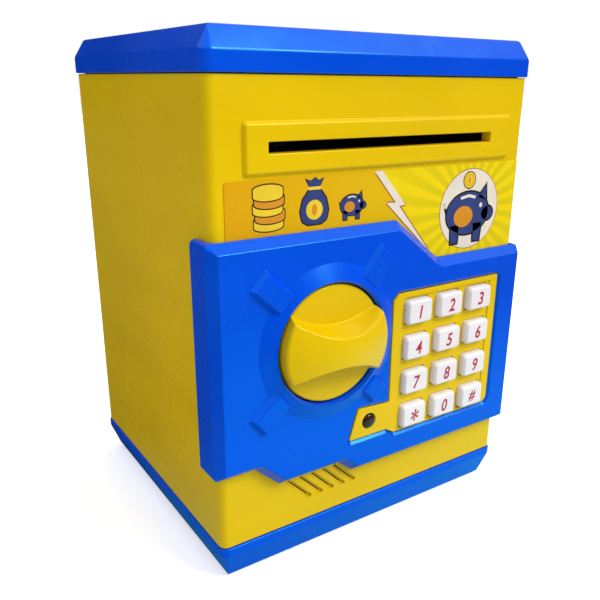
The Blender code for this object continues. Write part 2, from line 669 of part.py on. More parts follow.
def solenoid():
    body = box(-33.5, -20.5, -60.5, PAN_BACK - PAN_WALL - GAP, 51.0, 68.0)
    minus(body, rod("Z", (-27.0, -55.6), 2.6 + SHAFT_GAP, 56.0, 69.0))
    finish("lock_solenoid", body, "steel", "door")
    rest = rod("Z", (-27.0, -55.6), 2.6, 56.5, 74.0)
    union(rest, rod("Z", (-27.0, -55.6), 1.2, 73.5, 77.2))
    finish("solenoid_plunger", rest, "steel", "door")


def hinge_pins():
    centre = (HINGE_X, HINGE_Y)
    upper_end = UPPER_EAR + EAR_THICK
    lower_pin = rod("Z", centre, HINGE_PIN_RADIUS, LOWER_EAR, BARREL_LOW + PIN_DEPTH)
    upper_pin = rod("Z", centre, HINGE_PIN_RADIUS, BARREL_HIGH - PIN_DEPTH, upper_end)
    finish("hinge_pin_lower", lower_pin, "steel", "bank")
    finish("hinge_pin_upper", upper_pin, "steel", "bank")


# ---------------------------------------------------------------- note feed
PLATE_X = 54.0
PLATE_THICK = 2.0


def feed_frame():
    """Two side plates joined by the note guide and a top bar; the left plate also carries the gears' axle."""
    front, back = INNER_FRONT + 1.2, -12.0
    left_plate = [(front, 122.0), (front, 167.0), (-34.0, 167.0), (back, 153.0), (back, 118.0), (-40.0, 118.0)]
    right_plate = [(front, 138.0), (front, 167.0), (-34.0, 167.0), (back, 153.0), (back, 149.0)]
    frame = prism("X", left_plate, -PLATE_X, -PLATE_X + PLATE_THICK)
    union(frame, prism("X", right_plate, PLATE_X - PLATE_THICK, PLATE_X))
    reach = PLATE_X - PLATE_THICK / 2
    guide = box(-reach, reach, front, back, 150.6, 152.2)
    for x in (-ROLLER_OFFSET, ROLLER_OFFSET):
        minus(guide, box(x - 8, x + 8, DRIVE_Y - 9.5, DRIVE_Y + 9.5, 149, 154))
    union(frame, guide, box(-reach, reach, front, -53.0, 164.4, 166.4))
    for x in (-PLATE_X, PLATE_X - PLATE_THICK):
        for z in (DRIVE_Z, PINCH_Z):
            hole = rod("X", (DRIVE_Y, z), AXLE_RADIUS + SHAFT_GAP, x - 1, x + PLATE_THICK + 1)
            minus(frame, hole)
    minus(frame, rod("X", (MOTOR_Y, MOTOR_Z), 3.0, -PLATE_X - 1, -PLATE_X + PLATE_THICK + 1))
    axle = rod("X", (TRANSFER_Y, TRANSFER_Z), 1.5, SMALL_GEAR_X[0] - 0.8, -PLATE_X + 1)
    union(frame, axle)
    finish("feed_frame", frame, "black_plastic", "bank")


def feed_motor():
    centre = (MOTOR_Y, MOTOR_Z)
    can = rod("X", centre, 9.5, -PLATE_X + PLATE_THICK + GAP, -27.0, 20)
    union(can, rod("X", centre, 4.5, -27.5, -25.0))
    minus(can, rod("X", centre, 1.0 + SHAFT_GAP, -PLATE_X, -40.0))
    finish("feed_motor", can, "steel", "bank")


def gears():
    toward_drive = TRANSFER_ANGLE + math.pi
    roller_gear = prism("X", gear(ROLLER_TEETH, (DRIVE_Y, DRIVE_Z), TRANSFER_ANGLE), *ROLLER_GEAR_X)
    minus(roller_gear, rod("X", (DRIVE_Y, DRIVE_Z), AXLE_RADIUS + 0.1, -70, -50))
    finish("roller_gear", roller_gear, "gear_plastic", "drive_train")
    centre = (TRANSFER_Y, TRANSFER_Z)
    small = prism("X", gear(SMALL_TEETH, centre, toward_drive + math.pi / SMALL_TEETH), *SMALL_GEAR_X)
    union(small, prism("X", gear(LARGE_TEETH, centre, PINION_ANGLE), *LARGE_GEAR_X))
    minus(small, rod("X", centre, 1.5 + SHAFT_GAP, -70, -50))
    finish("transfer_gear", small, "gear_plastic", "transfer_gear")
    centre = (MOTOR_Y, MOTOR_Z)
    tooth_angle = PINION_ANGLE + math.pi + math.pi / PINION_TEETH
    pinion = prism("X", gear(PINION_TEETH, centre, tooth_angle), *LARGE_GEAR_X)
    union(pinion, rod("X", centre, 1.0, -58.0, -42.0, 12))
    finish("motor_pinion", pinion, "gear_plastic", "motor_pinion")


def rollers():
    drive, pinch = (DRIVE_Y, DRIVE_Z), (DRIVE_Y, PINCH_Z)
    drive_shaft = rod("X", drive, AXLE_RADIUS, ROLLER_GEAR_X[0] - 0.8, PLATE_X + 3)
    pinch_shaft = rod("X", pinch, AXLE_RADIUS, -PLATE_X - 3, PLATE_X + 3)
    finish("drive_shaft", drive_shaft, "steel", "drive_train")
    finish("pinch_shaft", pinch_shaft, "steel", "pinch_train")
    kinds = (("drive", drive, DRIVE_RADIUS, 6.0), ("pinch", pinch, PINCH_RADIUS, 5.0))
    for side, x in (("left", -ROLLER_OFFSET), ("right", ROLLER_OFFSET)):
        for kind, centre, radius, half in kinds:
            roller = rod("X", centre, radius, x - half, x + half, 20)
            minus(roller, rod("X", centre, AXLE_RADIUS + 0.1, x - half - 1, x + half + 1))
            finish(f"{kind}_roller_{side}", roller, "rubber", f"{kind}_train")


def note_sensor():
    board = box(-9, 9, -57.6, -50.0, 162.4, 163.8)
    union(board, box(-3, 3, -56.0, -52.0, 159.0, 162.8))
    finish("note_sensor", board, "circuit_board", "bank")


# ---------------------------------------------------------------- electronics and batteries
def main_board():
    board = box(-12, 51, -56.0, -54.4, 18.0, 38.5)
    union(board, box(14, 26, -54.8, -51.8, 22.0, 34.0))
    union(board, rod("Y", (34, 29), 3.2, -54.8, -46.0))
    union(board, box(41, 50, -54.8, -48.0, 20.0, 26.0))
    union(board, box(-9, 1, -54.8, -50.0, 21.0, 26.0))
    finish("main_board", board, "circuit_board", "bank")


def speaker():
    centre = (-31.0, 28.6)
    driver = loft("Y", [
        (circle(10.8, 24, centre), INNER_FRONT + 0.7), (circle(10.8, 24, centre), INNER_FRONT + 2.7),
        (circle(6.5, 24, centre), INNER_FRONT + 4.7), (circle(6.5, 24, centre), INNER_FRONT + 8.7),
    ])
    finish("speaker", driver, "black_plastic", "bank")


def batteries():
    for number, offset in enumerate((-CELL_PITCH, 0.0, CELL_PITCH), start=1):
        centre = (CELLS_Y + offset, CELL_Z)
        nub_side = 1 if number % 2 else -1
        half = CELL_LENGTH / 2
        end = nub_side * half
        shoulder = end - nub_side * 1.2
        can = rod("X", centre, CELL_RADIUS, min(-end, shoulder), max(-end, shoulder), 20)
        nub_root = end - nub_side * 2
        union(can, rod("X", centre, 2.6, min(nub_root, end), max(nub_root, end), 12))
        finish(f"battery_cell_{number}", can, "cell_wrap", "bank")
    for side, sign in (("left", -1), ("right", 1)):
        outer, plate, tip = sign * 28.3, sign * 27.7, sign * 25.4
        contact = box(min(outer, plate), max(outer, plate), CELLS_Y - 21.5, CELLS_Y + 21.5, 5.0, 16.5)
        for offset in (-CELL_PITCH, 0.0, CELL_PITCH):
            wide = circle(4.0, 12, (CELLS_Y + offset, CELL_Z))
            narrow = circle(2.0, 12, (CELLS_Y + offset, CELL_Z))
            union(contact, loft("X", [(wide, sign * 28.0), (narrow, tip)]))
        finish(f"battery_contact_{side}", contact, "steel", "bank")


def battery_cover():
    front, back = BAY_CENTRE_Y - BAY_HALF_Y + GAP, BAY_CENTRE_Y + BAY_HALF_Y - GAP
    reach = BAY_HALF_X - GAP
    cover = box(-reach, reach, front, back, BASE_BOTTOM, BASE_BOTTOM + 1.8)
    for rib in range(5):
        y = BAY_CENTRE_Y + 4 + rib * 3.2
        minus(cover, box(-10, 10, y, y + 1.2, BASE_BOTTOM - 1, BASE_BOTTOM + 0.7))
    screw = (0.0, COVER_SCREW_Y)
    union(cover, rod("Z", screw, 2.1, BASE_BOTTOM + 1, 3.9))
    minus(cover, rod("Z", screw, 1.0 + SHAFT_GAP, 0, 5))
    minus(cover, rod("Z", screw, 1.9, 0, BASE_BOTTOM + 1.0))
    finish("battery_cover", cover, "blue_plastic", "battery_cover")
    bolt = rod("Z", screw, 1.7, BASE_BOTTOM + 0.2, BASE_BOTTOM + 0.9)
    union(bolt, rod("Z", screw, 1.0, BASE_BOTTOM + 0.5, 7.6))
    minus(bolt, box(-1.2, 1.2, screw[1] - 0.25, screw[1] + 0.25, 0, BASE_BOTTOM + 0.5))
    finish("battery_cover_screw", bolt, "steel", "battery_cover")


def clear_scene():
    for item in list(bpy.data.objects):
        bpy.data.objects.remove(item, do_unlink=True)


clear_scene()
make_materials()
make_pivots()
body_shell()
top_lid()
base_tray()
base_screws()
rubber_feet()
slot_bezel()
banner_label()
door_shell()
keypad_bezel()
keypad_keys()
keypad_board()
status_led()
door_back_cover()
latch_bolt()
knob()
knob_crank()
solenoid()
hinge_pins()
feed_frame()
feed_motor()
gears()
rollers()
note_sensor()
main_board()
speaker()
batteries()
battery_cover()
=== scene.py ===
"""The looks of the toy savings bank: smooth moulded shells, printed art, clean materials and a white studio.

Lengths are in millimetres, measured from the middle of the body's footprint at table height; in_row() moves
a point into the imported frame. +X is the right-hand side seen from the front, -Y is the front and +Z is up.
"""

import math

import bmesh
import bpy
from mathutils import Matrix, Vector
from mathutils.geometry import tessellate_polygon


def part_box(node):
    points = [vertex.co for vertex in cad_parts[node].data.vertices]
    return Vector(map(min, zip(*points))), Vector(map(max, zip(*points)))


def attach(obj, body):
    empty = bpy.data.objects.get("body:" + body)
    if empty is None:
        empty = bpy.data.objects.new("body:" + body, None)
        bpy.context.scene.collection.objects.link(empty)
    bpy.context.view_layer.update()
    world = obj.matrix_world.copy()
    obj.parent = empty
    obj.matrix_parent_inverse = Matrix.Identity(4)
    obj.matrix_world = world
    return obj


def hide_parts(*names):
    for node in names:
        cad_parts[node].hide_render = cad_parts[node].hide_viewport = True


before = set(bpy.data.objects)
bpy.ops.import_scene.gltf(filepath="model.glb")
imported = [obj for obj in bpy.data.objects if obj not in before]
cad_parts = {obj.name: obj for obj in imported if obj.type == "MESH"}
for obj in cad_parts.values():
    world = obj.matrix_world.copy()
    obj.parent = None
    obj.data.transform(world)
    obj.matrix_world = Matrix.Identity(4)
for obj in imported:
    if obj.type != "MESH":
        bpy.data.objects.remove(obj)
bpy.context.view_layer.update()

MM = 0.001
X, Y, Z = 0, 1, 2


# ---------------------------------------------------------------- sizes read from the frame
def lid_middle(axis):
    low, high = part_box("top_lid")
    return (low[axis] + high[axis]) / 2 / MM


CENTRE = Vector((lid_middle(X), lid_middle(Y), 0.0))


def low_of(node, axis):
    """The node's lowest coordinate along axis X, Y or Z, in this script's millimetres."""
    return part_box(node)[0][axis] / MM - CENTRE[axis]


def high_of(node, axis):
    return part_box(node)[1][axis] / MM - CENTRE[axis]


def span(node, *axes):
    """The node's lowest and highest coordinates along each axis in turn."""
    return [end(node, axis) for axis in axes for end in (low_of, high_of)]


def spot(node, *axes):
    """The middle of the node's box along each axis."""
    low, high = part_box(node)
    return tuple((low[axis] + high[axis]) / 2 / MM - CENTRE[axis] for axis in axes)


SIDE = -low_of("body_shell", X)
BODY_BACK = high_of("body_shell", Y)
FRONT = -BODY_BACK
BODY_LOW, BODY_HIGH = span("body_shell", Z)
WALL = 2.4
BODY_RADIUS = 3.0
MONEY_FLOOR = (40.0, 41.8)
BODY_OPENING = (-60.0, 60.0, 46.0, 106.0)
SLEEVE_WINDOW = (-50.6, 50.9, 150.6, 159.4)
BODY_JOINT = 0.3

LID_TOP = high_of("top_lid", Z)
LID_LOW = BODY_HIGH + BODY_JOINT
LID_BAND_TOP = LID_LOW + 6.2
LID_SLOPE = 4.3
LID_SKIRT = 4.8

BASE_LOW = low_of("base_tray", Z)
BASE_TOP = BODY_LOW - BODY_JOINT
BASE_BAND_LOW = BASE_TOP - 3.3
BASE_SLOPE = 4.2

DOOR_LEFT, DOOR_RIGHT = low_of("door_shell", X), 71.0
DOOR_LOW, DOOR_HIGH = span("door_shell", Z)
DOOR_FACE = FRONT - 5.0
DOOR_BACK = FRONT - 0.4
DOOR_CHAMFER, DOOR_CHAMFER_DEPTH = 3.0, 3.6
DOOR_WRAP_BACK = FRONT + 9.0
DOOR_GAP = 0.4

KNOB_X, KNOB_Z = spot("knob", X, Z)
KNOB_RADIUS = (high_of("knob", X) - low_of("knob", X)) / 2
KNOB_RECESS_FLOOR = FRONT - 2.4

PANEL_FACE, PANEL_BACK = span("keypad_bezel", Y)
KEY_WIDTH, KEY_HEIGHT = 12.6, 9.8
KEY_LEGENDS = {**{f"key_{n}": str(n) for n in range(1, 10)}, "key_star": "*", "key_0": "0", "key_hash": "#"}

HINGE_PINS = ("hinge_pin_lower", "hinge_pin_upper")
HINGE_X, HINGE_Y = spot(HINGE_PINS[0], X, Y)


def in_row(point):
    return (Vector(point) + CENTRE) * MM


# ---------------------------------------------------------------- outlines
def rounded(corners, inset=0.0, steps=6):
    """A closed outline from (u, v, radius) corners: moved inwards by inset, with each corner as an arc."""
    corners = counter_clockwise(corners)
    count = len(corners)
    lines = [offset_line(corners[i], corners[(i + 1) % count], inset) for i in range(count)]
    places = [crossing(lines[i - 1], lines[i]) for i in range(count)]
    points = []
    for i, (_, _, radius) in enumerate(corners):
        before, here, after = places[i - 1], places[i], places[(i + 1) % count]
        turn = cross(here - before, after - here)
        soft = radius - inset if turn > 0 else radius + inset
        points += corner_arc(before, here, after, max(soft, 0.02), steps)
    return points


def counter_clockwise(corners):
    area = sum(a[0] * b[1] - b[0] * a[1] for a, b in zip(corners, corners[1:] + corners[:1]))
    return corners if area > 0 else corners[::-1]


def cross(a, b):
    return a.x * b.y - a.y * b.x


def offset_line(start, end, distance):
    """The edge as (point, direction), moved to its left by distance."""
    direction = Vector((end[0] - start[0], end[1] - start[1])).normalized()
    return Vector((start[0], start[1])) + distance * Vector((-direction.y, direction.x)), direction


def crossing(first, second):
    (a, along_a), (b, along_b) = first, second
    spread = cross(along_a, along_b)
    if abs(spread) < 1e-6:
        return b
    return a + along_a * (cross(b - a, along_b) / spread)


def corner_arc(before, here, after, radius, steps):
    back, onward = (before - here), (after - here)
    reach_limit = 0.49 * min(back.length, onward.length)
    back.normalize()
    onward.normalize()
    opening = math.acos(max(-1.0, min(1.0, back.dot(onward))))
    if opening > math.pi - 1e-3:
        return [here + back * 1e-3 * (1 - k / steps) for k in range(steps + 1)]
    reach = min(radius / math.tan(opening / 2), reach_limit)
    radius = reach * math.tan(opening / 2)
    centre = here + (back + onward).normalized() * (radius / math.sin(opening / 2))
    start = here + back * reach - centre
    sweep = math.pi - opening
    if cross(back, onward) > 0:
        sweep = -sweep
    points = []
    for k in range(steps + 1):
        angle = sweep * k / steps
        cosine, sine = math.cos(angle), math.sin(angle)
        points.append(centre + Vector((start.x * cosine - start.y * sine, start.x * sine + start.y * cosine)))
    return points


def rectangle(left, right, low, high, radius=0.0):
    return [(left, low, radius), (right, low, radius), (right, high, radius), (left, high, radius)]


def round_path(points, radius, steps=4):
    """An open (inset, level) path with its inner corners rounded; radius is one number or one per corner."""
    vectors = [Vector(p) for p in points]
    radii = [radius] * (len(points) - 2) if isinstance(radius, (int, float)) else radius
    path = [vectors[0]]
    for i, soft in enumerate(radii, start=1):
        path += corner_arc(vectors[i - 1], vectors[i], vectors[i + 1], max(soft, 0.01), steps)
    path.append(vectors[-1])
    kept = [path[0]]
    for point in path[1:]:
        if (point - kept[-1]).length > 1e-4:
            kept.append(point)
    return kept


def circle(radius, count, centre=(0.0, 0.0)):
    turn = 2 * math.pi / count
    return [
        Vector((centre[0] + radius * math.cos(turn * i), centre[1] + radius * math.sin(turn * i)))
        for i in range(count)
    ]


def around(u, v, half_u, half_v, radius=0.0):
    return rectangle(u - half_u, u + half_u, v - half_v, v + half_v, radius)


def straight(start, end, inset=0.0):
    """A path from one level to another at an even inset or radius."""
    return [(inset, start), (inset, end)]


def rim_path(start, end, inset, soft, steps=4):
    """A sheet's wall from one face to the other; its faces begin at inset and both rims are rounded."""
    return round_path([(inset, start), (0, start), (0, end), (inset, end)], soft, steps)


# ---------------------------------------------------------------- mesh building
def in_scene(name, data):
    made = bpy.data.objects.new(name, data)
    bpy.context.scene.collection.objects.link(made)
    return made


class Builder:
    """Collects rings of points and the faces between them, for outlines drawn across one axis."""

    def __init__(self, axis):
        self.axis = axis
        self.points = []
        self.faces = []

    def point(self, u, v, level):
        if self.axis == "Z":
            return u, v, level
        if self.axis == "Y":
            return u, level, v
        return level, u, v

    def ring(self, outline, level):
        first = len(self.points)
        self.points += [self.point(p[0], p[1], level) for p in outline]
        return list(range(first, len(self.points)))

    def bridge(self, ring_a, ring_b):
        for i in range(len(ring_a)):
            j = (i + 1) % len(ring_a)
            self.faces.append((ring_a[i], ring_a[j], ring_b[j], ring_b[i]))

    def chain(self, rings):
        """Bridges each ring to the next, and returns the first and the last."""
        for ring_a, ring_b in zip(rings, rings[1:]):
            self.bridge(ring_a, ring_b)
        return rings[0], rings[-1]

    def walls(self, corners, path, steps=6):
        """Rings of the rounded corners outline at each (inset, level) of the path."""
        return self.chain([self.ring(rounded(corners, inset, steps), level) for inset, level in path])

    def tube(self, centre, path, count=48):
        """Rings of circles at each (radius, level) of the path."""
        return self.chain([self.ring(circle(radius, count, centre), level) for radius, level in path])

    def cap(self, outer, holes=()):
        loops = [outer, *holes]
        across = [axis for axis in (X, Y, Z) if axis != "XYZ".index(self.axis)]
        flat = [[Vector([self.points[i][axis] for axis in across] + [0.0]) for i in loop] for loop in loops]
        order = [i for loop in loops for i in loop]
        for triangle in tessellate_polygon(flat):
            self.faces.append(tuple(order[i] for i in triangle))

    def close(self, shell, bores=()):
        """Caps both ends; the shell and each bore through it are (first ring, last ring)."""
        for end in (0, 1):
            self.cap(shell[end], [bore[end] for bore in bores])

    def mesh(self):
        made = bmesh.new()
        vertices = [made.verts.new(in_row(p)) for p in self.points]
        for face in self.faces:
            corners = [vertices[i] for i in face]
            if len(set(corners)) == len(corners) and not made.faces.get(corners):
                made.faces.new(corners)
        bmesh.ops.remove_doubles(made, verts=made.verts, dist=1e-7)
        bmesh.ops.recalc_face_normals(made, faces=made.faces)
        data = bpy.data.meshes.new("piece")
        made.to_mesh(data)
        made.free()
        return data

    def object(self, name):
        return in_scene(name, self.mesh())


def plate(name, corners, path, axis="Y", holes=(), steps=6):
    """A closed solid whose walls follow the path; each hole is (corners, path) between the same two faces."""
    build = Builder(axis)
    shell = build.walls(corners, path, steps)
    build.close(shell, [build.walls(hole, hole_path, steps) for hole, hole_path in holes])
    return build.object(name)


def turned(name, centre, path, axis="Y", count=64):
    """A closed solid of revolution: (radius, level) from one end face to the other."""
    build = Builder(axis)
    build.close(build.tube(centre, path, count))
    return build.object(name)


def slab(left, right, front, back, low, high):
    return plate("slab", rectangle(left, right, front, back), straight(low, high), "Z", steps=4)


def combine(target, operation, tools):
    for tool in tools:
        step = target.modifiers.new("combine", "BOOLEAN")
        step.operation = operation
        step.solver = "EXACT"
        step.object = tool
        bpy.context.view_layer.update()
        evaluated = target.evaluated_get(bpy.context.evaluated_depsgraph_get())
        result = bpy.data.meshes.new_from_object(evaluated)
        target.modifiers.clear()
        target.data = result
        bpy.data.objects.remove(tool, do_unlink=True)
    return target


def carve(target, *tools):
    return combine(target, "DIFFERENCE", tools)


def weld(target, *tools):
    return combine(target, "UNION", tools)


def loft(name, sections, axis="Z", bore=None):
    """A closed solid through (outline, level) sections of equal point count; bore is (centre, radius)."""
    build = Builder(axis)
    shell = build.chain([build.ring(outline, level) for outline, level in sections])
    bores = []
    if bore:
        centre, radius = bore
        bores.append(build.tube(centre, straight(sections[0][1], sections[-1][1], radius), 32))
    build.close(shell, bores)
    return build.object(name)


def sleeve(name, centre, path, axis, count=48):
    """A closed ring of revolution: the (radius, level) path runs right round its cross-section."""
    build = Builder(axis)
    build.bridge(*reversed(build.tube(centre, path, count)))
    return build.object(name)


def wire(name, points, radius, sides):
    """A round wire swept along the points, closed at both ends."""
    build = Builder("Z")
    points = [Vector(p) for p in points]
    rings = []
    side = (points[1] - points[0]).orthogonal().normalized()
    for i, point in enumerate(points):
        ahead = (points[min(i + 1, len(points) - 1)] - points[max(i - 1, 0)]).normalized()
        side = (side - ahead * side.dot(ahead)).normalized()
        other = ahead.cross(side)
        first = len(build.points)
        build.points += [tuple(point + u * side + v * other) for u, v in circle(radius, sides)]
        rings.append(list(range(first, first + sides)))
    build.faces += [tuple(ring) for ring in build.chain(rings)]
    return build.object(name)


def join(name, parts):
    """One object from several closed solids that stay separate shells."""
    merged = bmesh.new()
    for part in parts:
        merged.from_mesh(part.data)
        bpy.data.objects.remove(part, do_unlink=True)
    data = bpy.data.meshes.new(name)
    merged.to_mesh(data)
    merged.free()
    return in_scene(name, data)


def soft_block(name, left, right, front, back, low, high, radius=0.1, soft=0.1):
    """A block standing on Z with rounded upright corners and rounded top and bottom edges."""
    return plate(name, rectangle(left, right, front, back, radius), rim_path(low, high, soft * 3, soft, 3),
                 "Z", steps=4)


def smooth(made, sharp_degrees=35.0, bevel=0.0, bevel_degrees=50.0):
    """Smooth shading with weighted normals; a bevel, if asked for, rounds only the hard edges."""
    made.data.polygons.foreach_set("use_smooth", [True] * len(made.data.polygons))
    if bevel:
        step = made.modifiers.new("edge_round", "BEVEL")
        step.width = bevel * MM
        step.segments = 2
        step.limit_method = "ANGLE"
        step.angle_limit = math.radians(bevel_degrees)
    made.data.set_sharp_from_angle(angle=math.radians(sharp_degrees))
    made.modifiers.new("weighted_normals", "WEIGHTED_NORMAL").keep_sharp = True


SEAM, SLIVER = 0.002 * MM, 0.001 * MM


def close_seams(data):
    """Merges points that lie within two microns of each other."""
    seams = bmesh.new()
    seams.from_mesh(data)
    bmesh.ops.remove_doubles(seams, verts=seams.verts, dist=SEAM)
    bmesh.ops.dissolve_degenerate(seams, edges=seams.edges, dist=SLIVER)
    seams.to_mesh(data)
    seams.free()


def paint(made, material):
    made.data.materials.clear()
    made.data.materials.append(MATERIALS[material])


def add(made, body, material, replaces=None):
    """Gives the piece its material and its body, and hides the CAD node it stands for."""
    close_seams(made.data)
    paint(made, material)
    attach(made, body)
    if replaces:
        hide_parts(replaces)


def place(made, body, material, replaces=None, slot=None, **shading):
    smooth(made, **shading)
    add(made, body, material, replaces)


def kept(node, material, slot=None, bevel=0.3):
    """A CAD node that keeps its shape: rounded edges, smooth shading and its own material."""
    smooth(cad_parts[node], bevel=bevel)
    paint(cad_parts[node], material)


# ---------------------------------------------------------------- materials
class Look:
    """A material's or world's node tree, with short helpers for its textures."""

    def __init__(self, owner, place="Object", surface="BsdfPrincipled", output="OutputMaterial"):
        self.owner = owner
        owner.use_nodes = True
        self.nodes, self.links = owner.node_tree.nodes, owner.node_tree.links
        self.nodes.clear()
        self.surface = self.nodes.new("ShaderNode" + surface)
        self.seen = self.nodes.new("ShaderNode" + output).inputs["Surface"]
        self.links.new(self.surface.outputs[0], self.seen)
        self.place = self.node("TexCoord", place)

    def node(self, kind, output, inputs=None, **settings):
        """One output of a new node, once its settings are made and its inputs are set or linked."""
        made = self.nodes.new("ShaderNode" + kind)
        for key, value in settings.items():
            setattr(made, key, value)
        for key, value in (inputs or {}).items():
            self.put(made.inputs[key], value)
        return made.outputs[output]

    def put(self, socket, value):
        if isinstance(value, bpy.types.NodeSocket):
            self.links.new(value, socket)
        elif socket.type == "RGBA" and len(value) == 3:
            socket.default_value = (*value, 1.0)
        else:
            socket.default_value = value

    def set(self, **values):
        for key, value in values.items():
            self.put(self.surface.inputs[key.replace("_", " ").title().replace("Ior", "IOR")], value)

    def stretch(self, *scale):
        return self.node("Mapping", "Vector", {"Vector": self.place, "Scale": scale})

    def axis(self, axis):
        """One coordinate of the object in this script's millimetres."""
        metres = self.node("SeparateXYZ", "XYZ"[axis], {"Vector": self.place})
        return self.math("SUBTRACT", self.math("DIVIDE", metres, MM), CENTRE[axis])

    def noise(self, scale, detail=3.0, roughness=0.5, vector=None, distortion=0.0):
        grain = {"Scale": scale, "Detail": detail, "Roughness": roughness, "Distortion": distortion}
        return self.node("TexNoise", "Fac", {"Vector": vector or self.place, **grain})

    def spread(self, value, low, high, to_low=0.0, to_high=1.0, **settings):
        """The value from low to high, mapped to run from to_low to to_high."""
        ends = {"Value": value, "From Min": low, "From Max": high, "To Min": to_low, "To Max": to_high}
        return self.node("MapRange", "Result", ends, **settings)

    def math(self, operation, a, b=0.0):
        return self.node("Math", "Value", {0: a, 1: b}, operation=operation)

    def mix(self, share, a, b):
        return self.node("Mix", 2, {"Factor": share, 6: a, 7: b}, data_type="RGBA")

    def tones(self, share, colour, dark, light):
        """A colour that drifts between a darker and a lighter share of itself."""
        return self.mix(share, shade(colour, dark), shade(colour, light))

    def bump(self, height, strength, distance, normal=None):
        inputs = {"Strength": strength, "Distance": distance, "Height": height}
        return self.node("Bump", "Normal", {**inputs, "Normal": normal} if normal else inputs)

    def distance(self, a, b):
        return self.math("SQRT", self.math("ADD", self.math("MULTIPLY", a, a), self.math("MULTIPLY", b, b)))


def new_look(name):
    return Look(bpy.data.materials.new(name))


def shade(colour, share):
    return tuple(channel * share for channel in colour)


def moulded_plastic(name, colour, roughness=0.24, tint=(1.0, 1.0, 1.0), specular=0.4):
    """Glossy injection moulding: faint colour drift, sink waviness, fine orange peel, smudges and hairlines."""
    look = new_look(name)
    flow = look.noise(6.0, 4.0, vector=look.stretch(1.0, 1.0, 7.0))
    tone = look.spread(look.math("ADD", look.noise(14.0), flow), 0.7, 1.3)
    smudge = look.spread(look.noise(22.0, 5.0, 0.6, distortion=0.6), 0.48, 0.72, 0.0, 0.12)
    across = look.noise(3.0, 2.0, vector=look.stretch(500.0, 40.0, 40.0))
    along = look.noise(3.0, 2.0, vector=look.stretch(30.0, 60.0, 620.0))
    hairlines = look.spread(look.math("MAXIMUM", across, along), 0.72, 0.79, 0.0, 0.05)
    marks = look.math("ADD", smudge, hairlines)
    waviness = look.bump(look.noise(12.0, 0.0), 0.06, 0.0010)
    orange_peel = look.bump(look.noise(1100.0, 1.0), 0.06, 0.00010, waviness)
    look.set(base_color=look.tones(tone, colour, 0.90, 1.05), roughness=look.math("ADD", marks, roughness))
    look.set(normal=orange_peel, specular_ior_level=specular, specular_tint=tint)
    return look.owner


def matt_plastic(name, colour, roughness=0.45):
    """Spark-eroded or nylon plastic: fine grain in colour, gloss and relief."""
    look = new_look(name)
    speckle, cloud = look.noise(2600.0, 2.0), look.noise(40.0, 4.0)
    tone = look.spread(look.math("ADD", speckle, cloud), 0.7, 1.3)
    look.set(base_color=look.tones(tone, colour, 0.80, 1.12), normal=look.bump(speckle, 0.25, 0.00006))
    look.set(roughness=look.spread(cloud, 0.3, 0.7, roughness - 0.08, roughness + 0.1))
    return look.owner


def brushed_metal(name, colour, direction, roughness=0.28):
    """Drawn or turned metal: fine lines along one axis, a patchy sheen and a few dark specks."""
    look = new_look(name)
    lines = look.noise(4.0, 4.0, 0.7, vector=look.stretch(*direction))
    patches = look.math("ADD", lines, look.noise(60.0, 4.0))
    specks = look.spread(look.noise(900.0, 2.0), 0.68, 0.78, 0.0, 0.5)
    tone = look.tones(look.spread(lines, 0.3, 0.7), colour, 0.75, 1.0)
    look.set(base_color=look.mix(specks, tone, shade(colour, 0.35)), metallic=1.0)
    look.set(roughness=look.spread(patches, 0.6, 1.4, roughness - 0.08, roughness + 0.14))
    look.set(normal=look.bump(lines, 0.12, 0.00004))
    return look.owner


def circuit_board(name):
    """Green solder mask with copper tracks under it and woven glass showing faintly."""
    look = new_look(name)
    black, white = (0.0, 0.0, 0.0), (1.0, 1.0, 1.0)
    grid = {"Scale": 95.0, "Mortar Size": 0.06, "Color1": black, "Color2": black, "Mortar": white}
    tracks = look.node("TexBrick", "Color", {"Vector": look.place, **grid})
    weave = look.noise(700.0, 2.0)
    mask = look.mix(look.spread(weave, 0.3, 0.7), (0.008, 0.10, 0.035), (0.014, 0.16, 0.05))
    relief = look.math("ADD", tracks, look.math("MULTIPLY", weave, 0.2))
    look.set(base_color=look.mix(tracks, mask, (0.05, 0.30, 0.10)), roughness=0.32)
    look.set(normal=look.bump(relief, 0.3, 0.00004))
    return look.owner


def rubber(name):
    """Black rubber with a grey bloom."""
    look = new_look(name)
    grain = look.noise(1800.0)
    bloom = look.spread(look.noise(60.0, 5.0), 0.5, 0.8, 0.0, 0.5)
    look.set(base_color=look.mix(bloom, (0.018, 0.018, 0.019), (0.06, 0.06, 0.06)))
    look.set(roughness=look.spread(grain, 0.3, 0.7, 0.7, 0.95), normal=look.bump(grain, 0.4, 0.00008))
    return look.owner


def lamp_lens(name):
    """Deep red-brown lens, so dark that it looks solid while the lamp is off."""
    look = new_look(name)
    cloud = look.noise(300.0)
    look.set(base_color=look.mix(cloud, (0.020, 0.005, 0.002), (0.06, 0.015, 0.004)), roughness=0.22)
    look.set(specular_ior_level=0.3, coat_weight=0.25, coat_roughness=0.08)
    look.set(normal=look.bump(cloud, 0.05, 0.00005))
    return look.owner


def printed_ink(name, colour):
    """Solid ink with a fine screen dot."""
    look = new_look(name)
    dots = look.node("TexVoronoi", "Distance", {"Vector": look.place, "Scale": 3000.0})
    dot = look.math("MULTIPLY", look.spread(dots, 0.2, 0.6), 0.15)
    tone = look.tones(look.spread(look.noise(90.0, 4.0), 0.3, 0.7), colour, 0.88, 1.05)
    look.set(base_color=look.mix(dot, tone, shade(colour, 0.7)), roughness=0.30)
    return look.owner


BADGE_X, BADGE_Z = 42.0, 128.0
BADGE_WIDE, BADGE_TALL = 15.6, 15.4
BOLT_TOP, BOLT_TIP = (-3.0, 145.5), (22.0, 113.0)
RAYS = 26.0


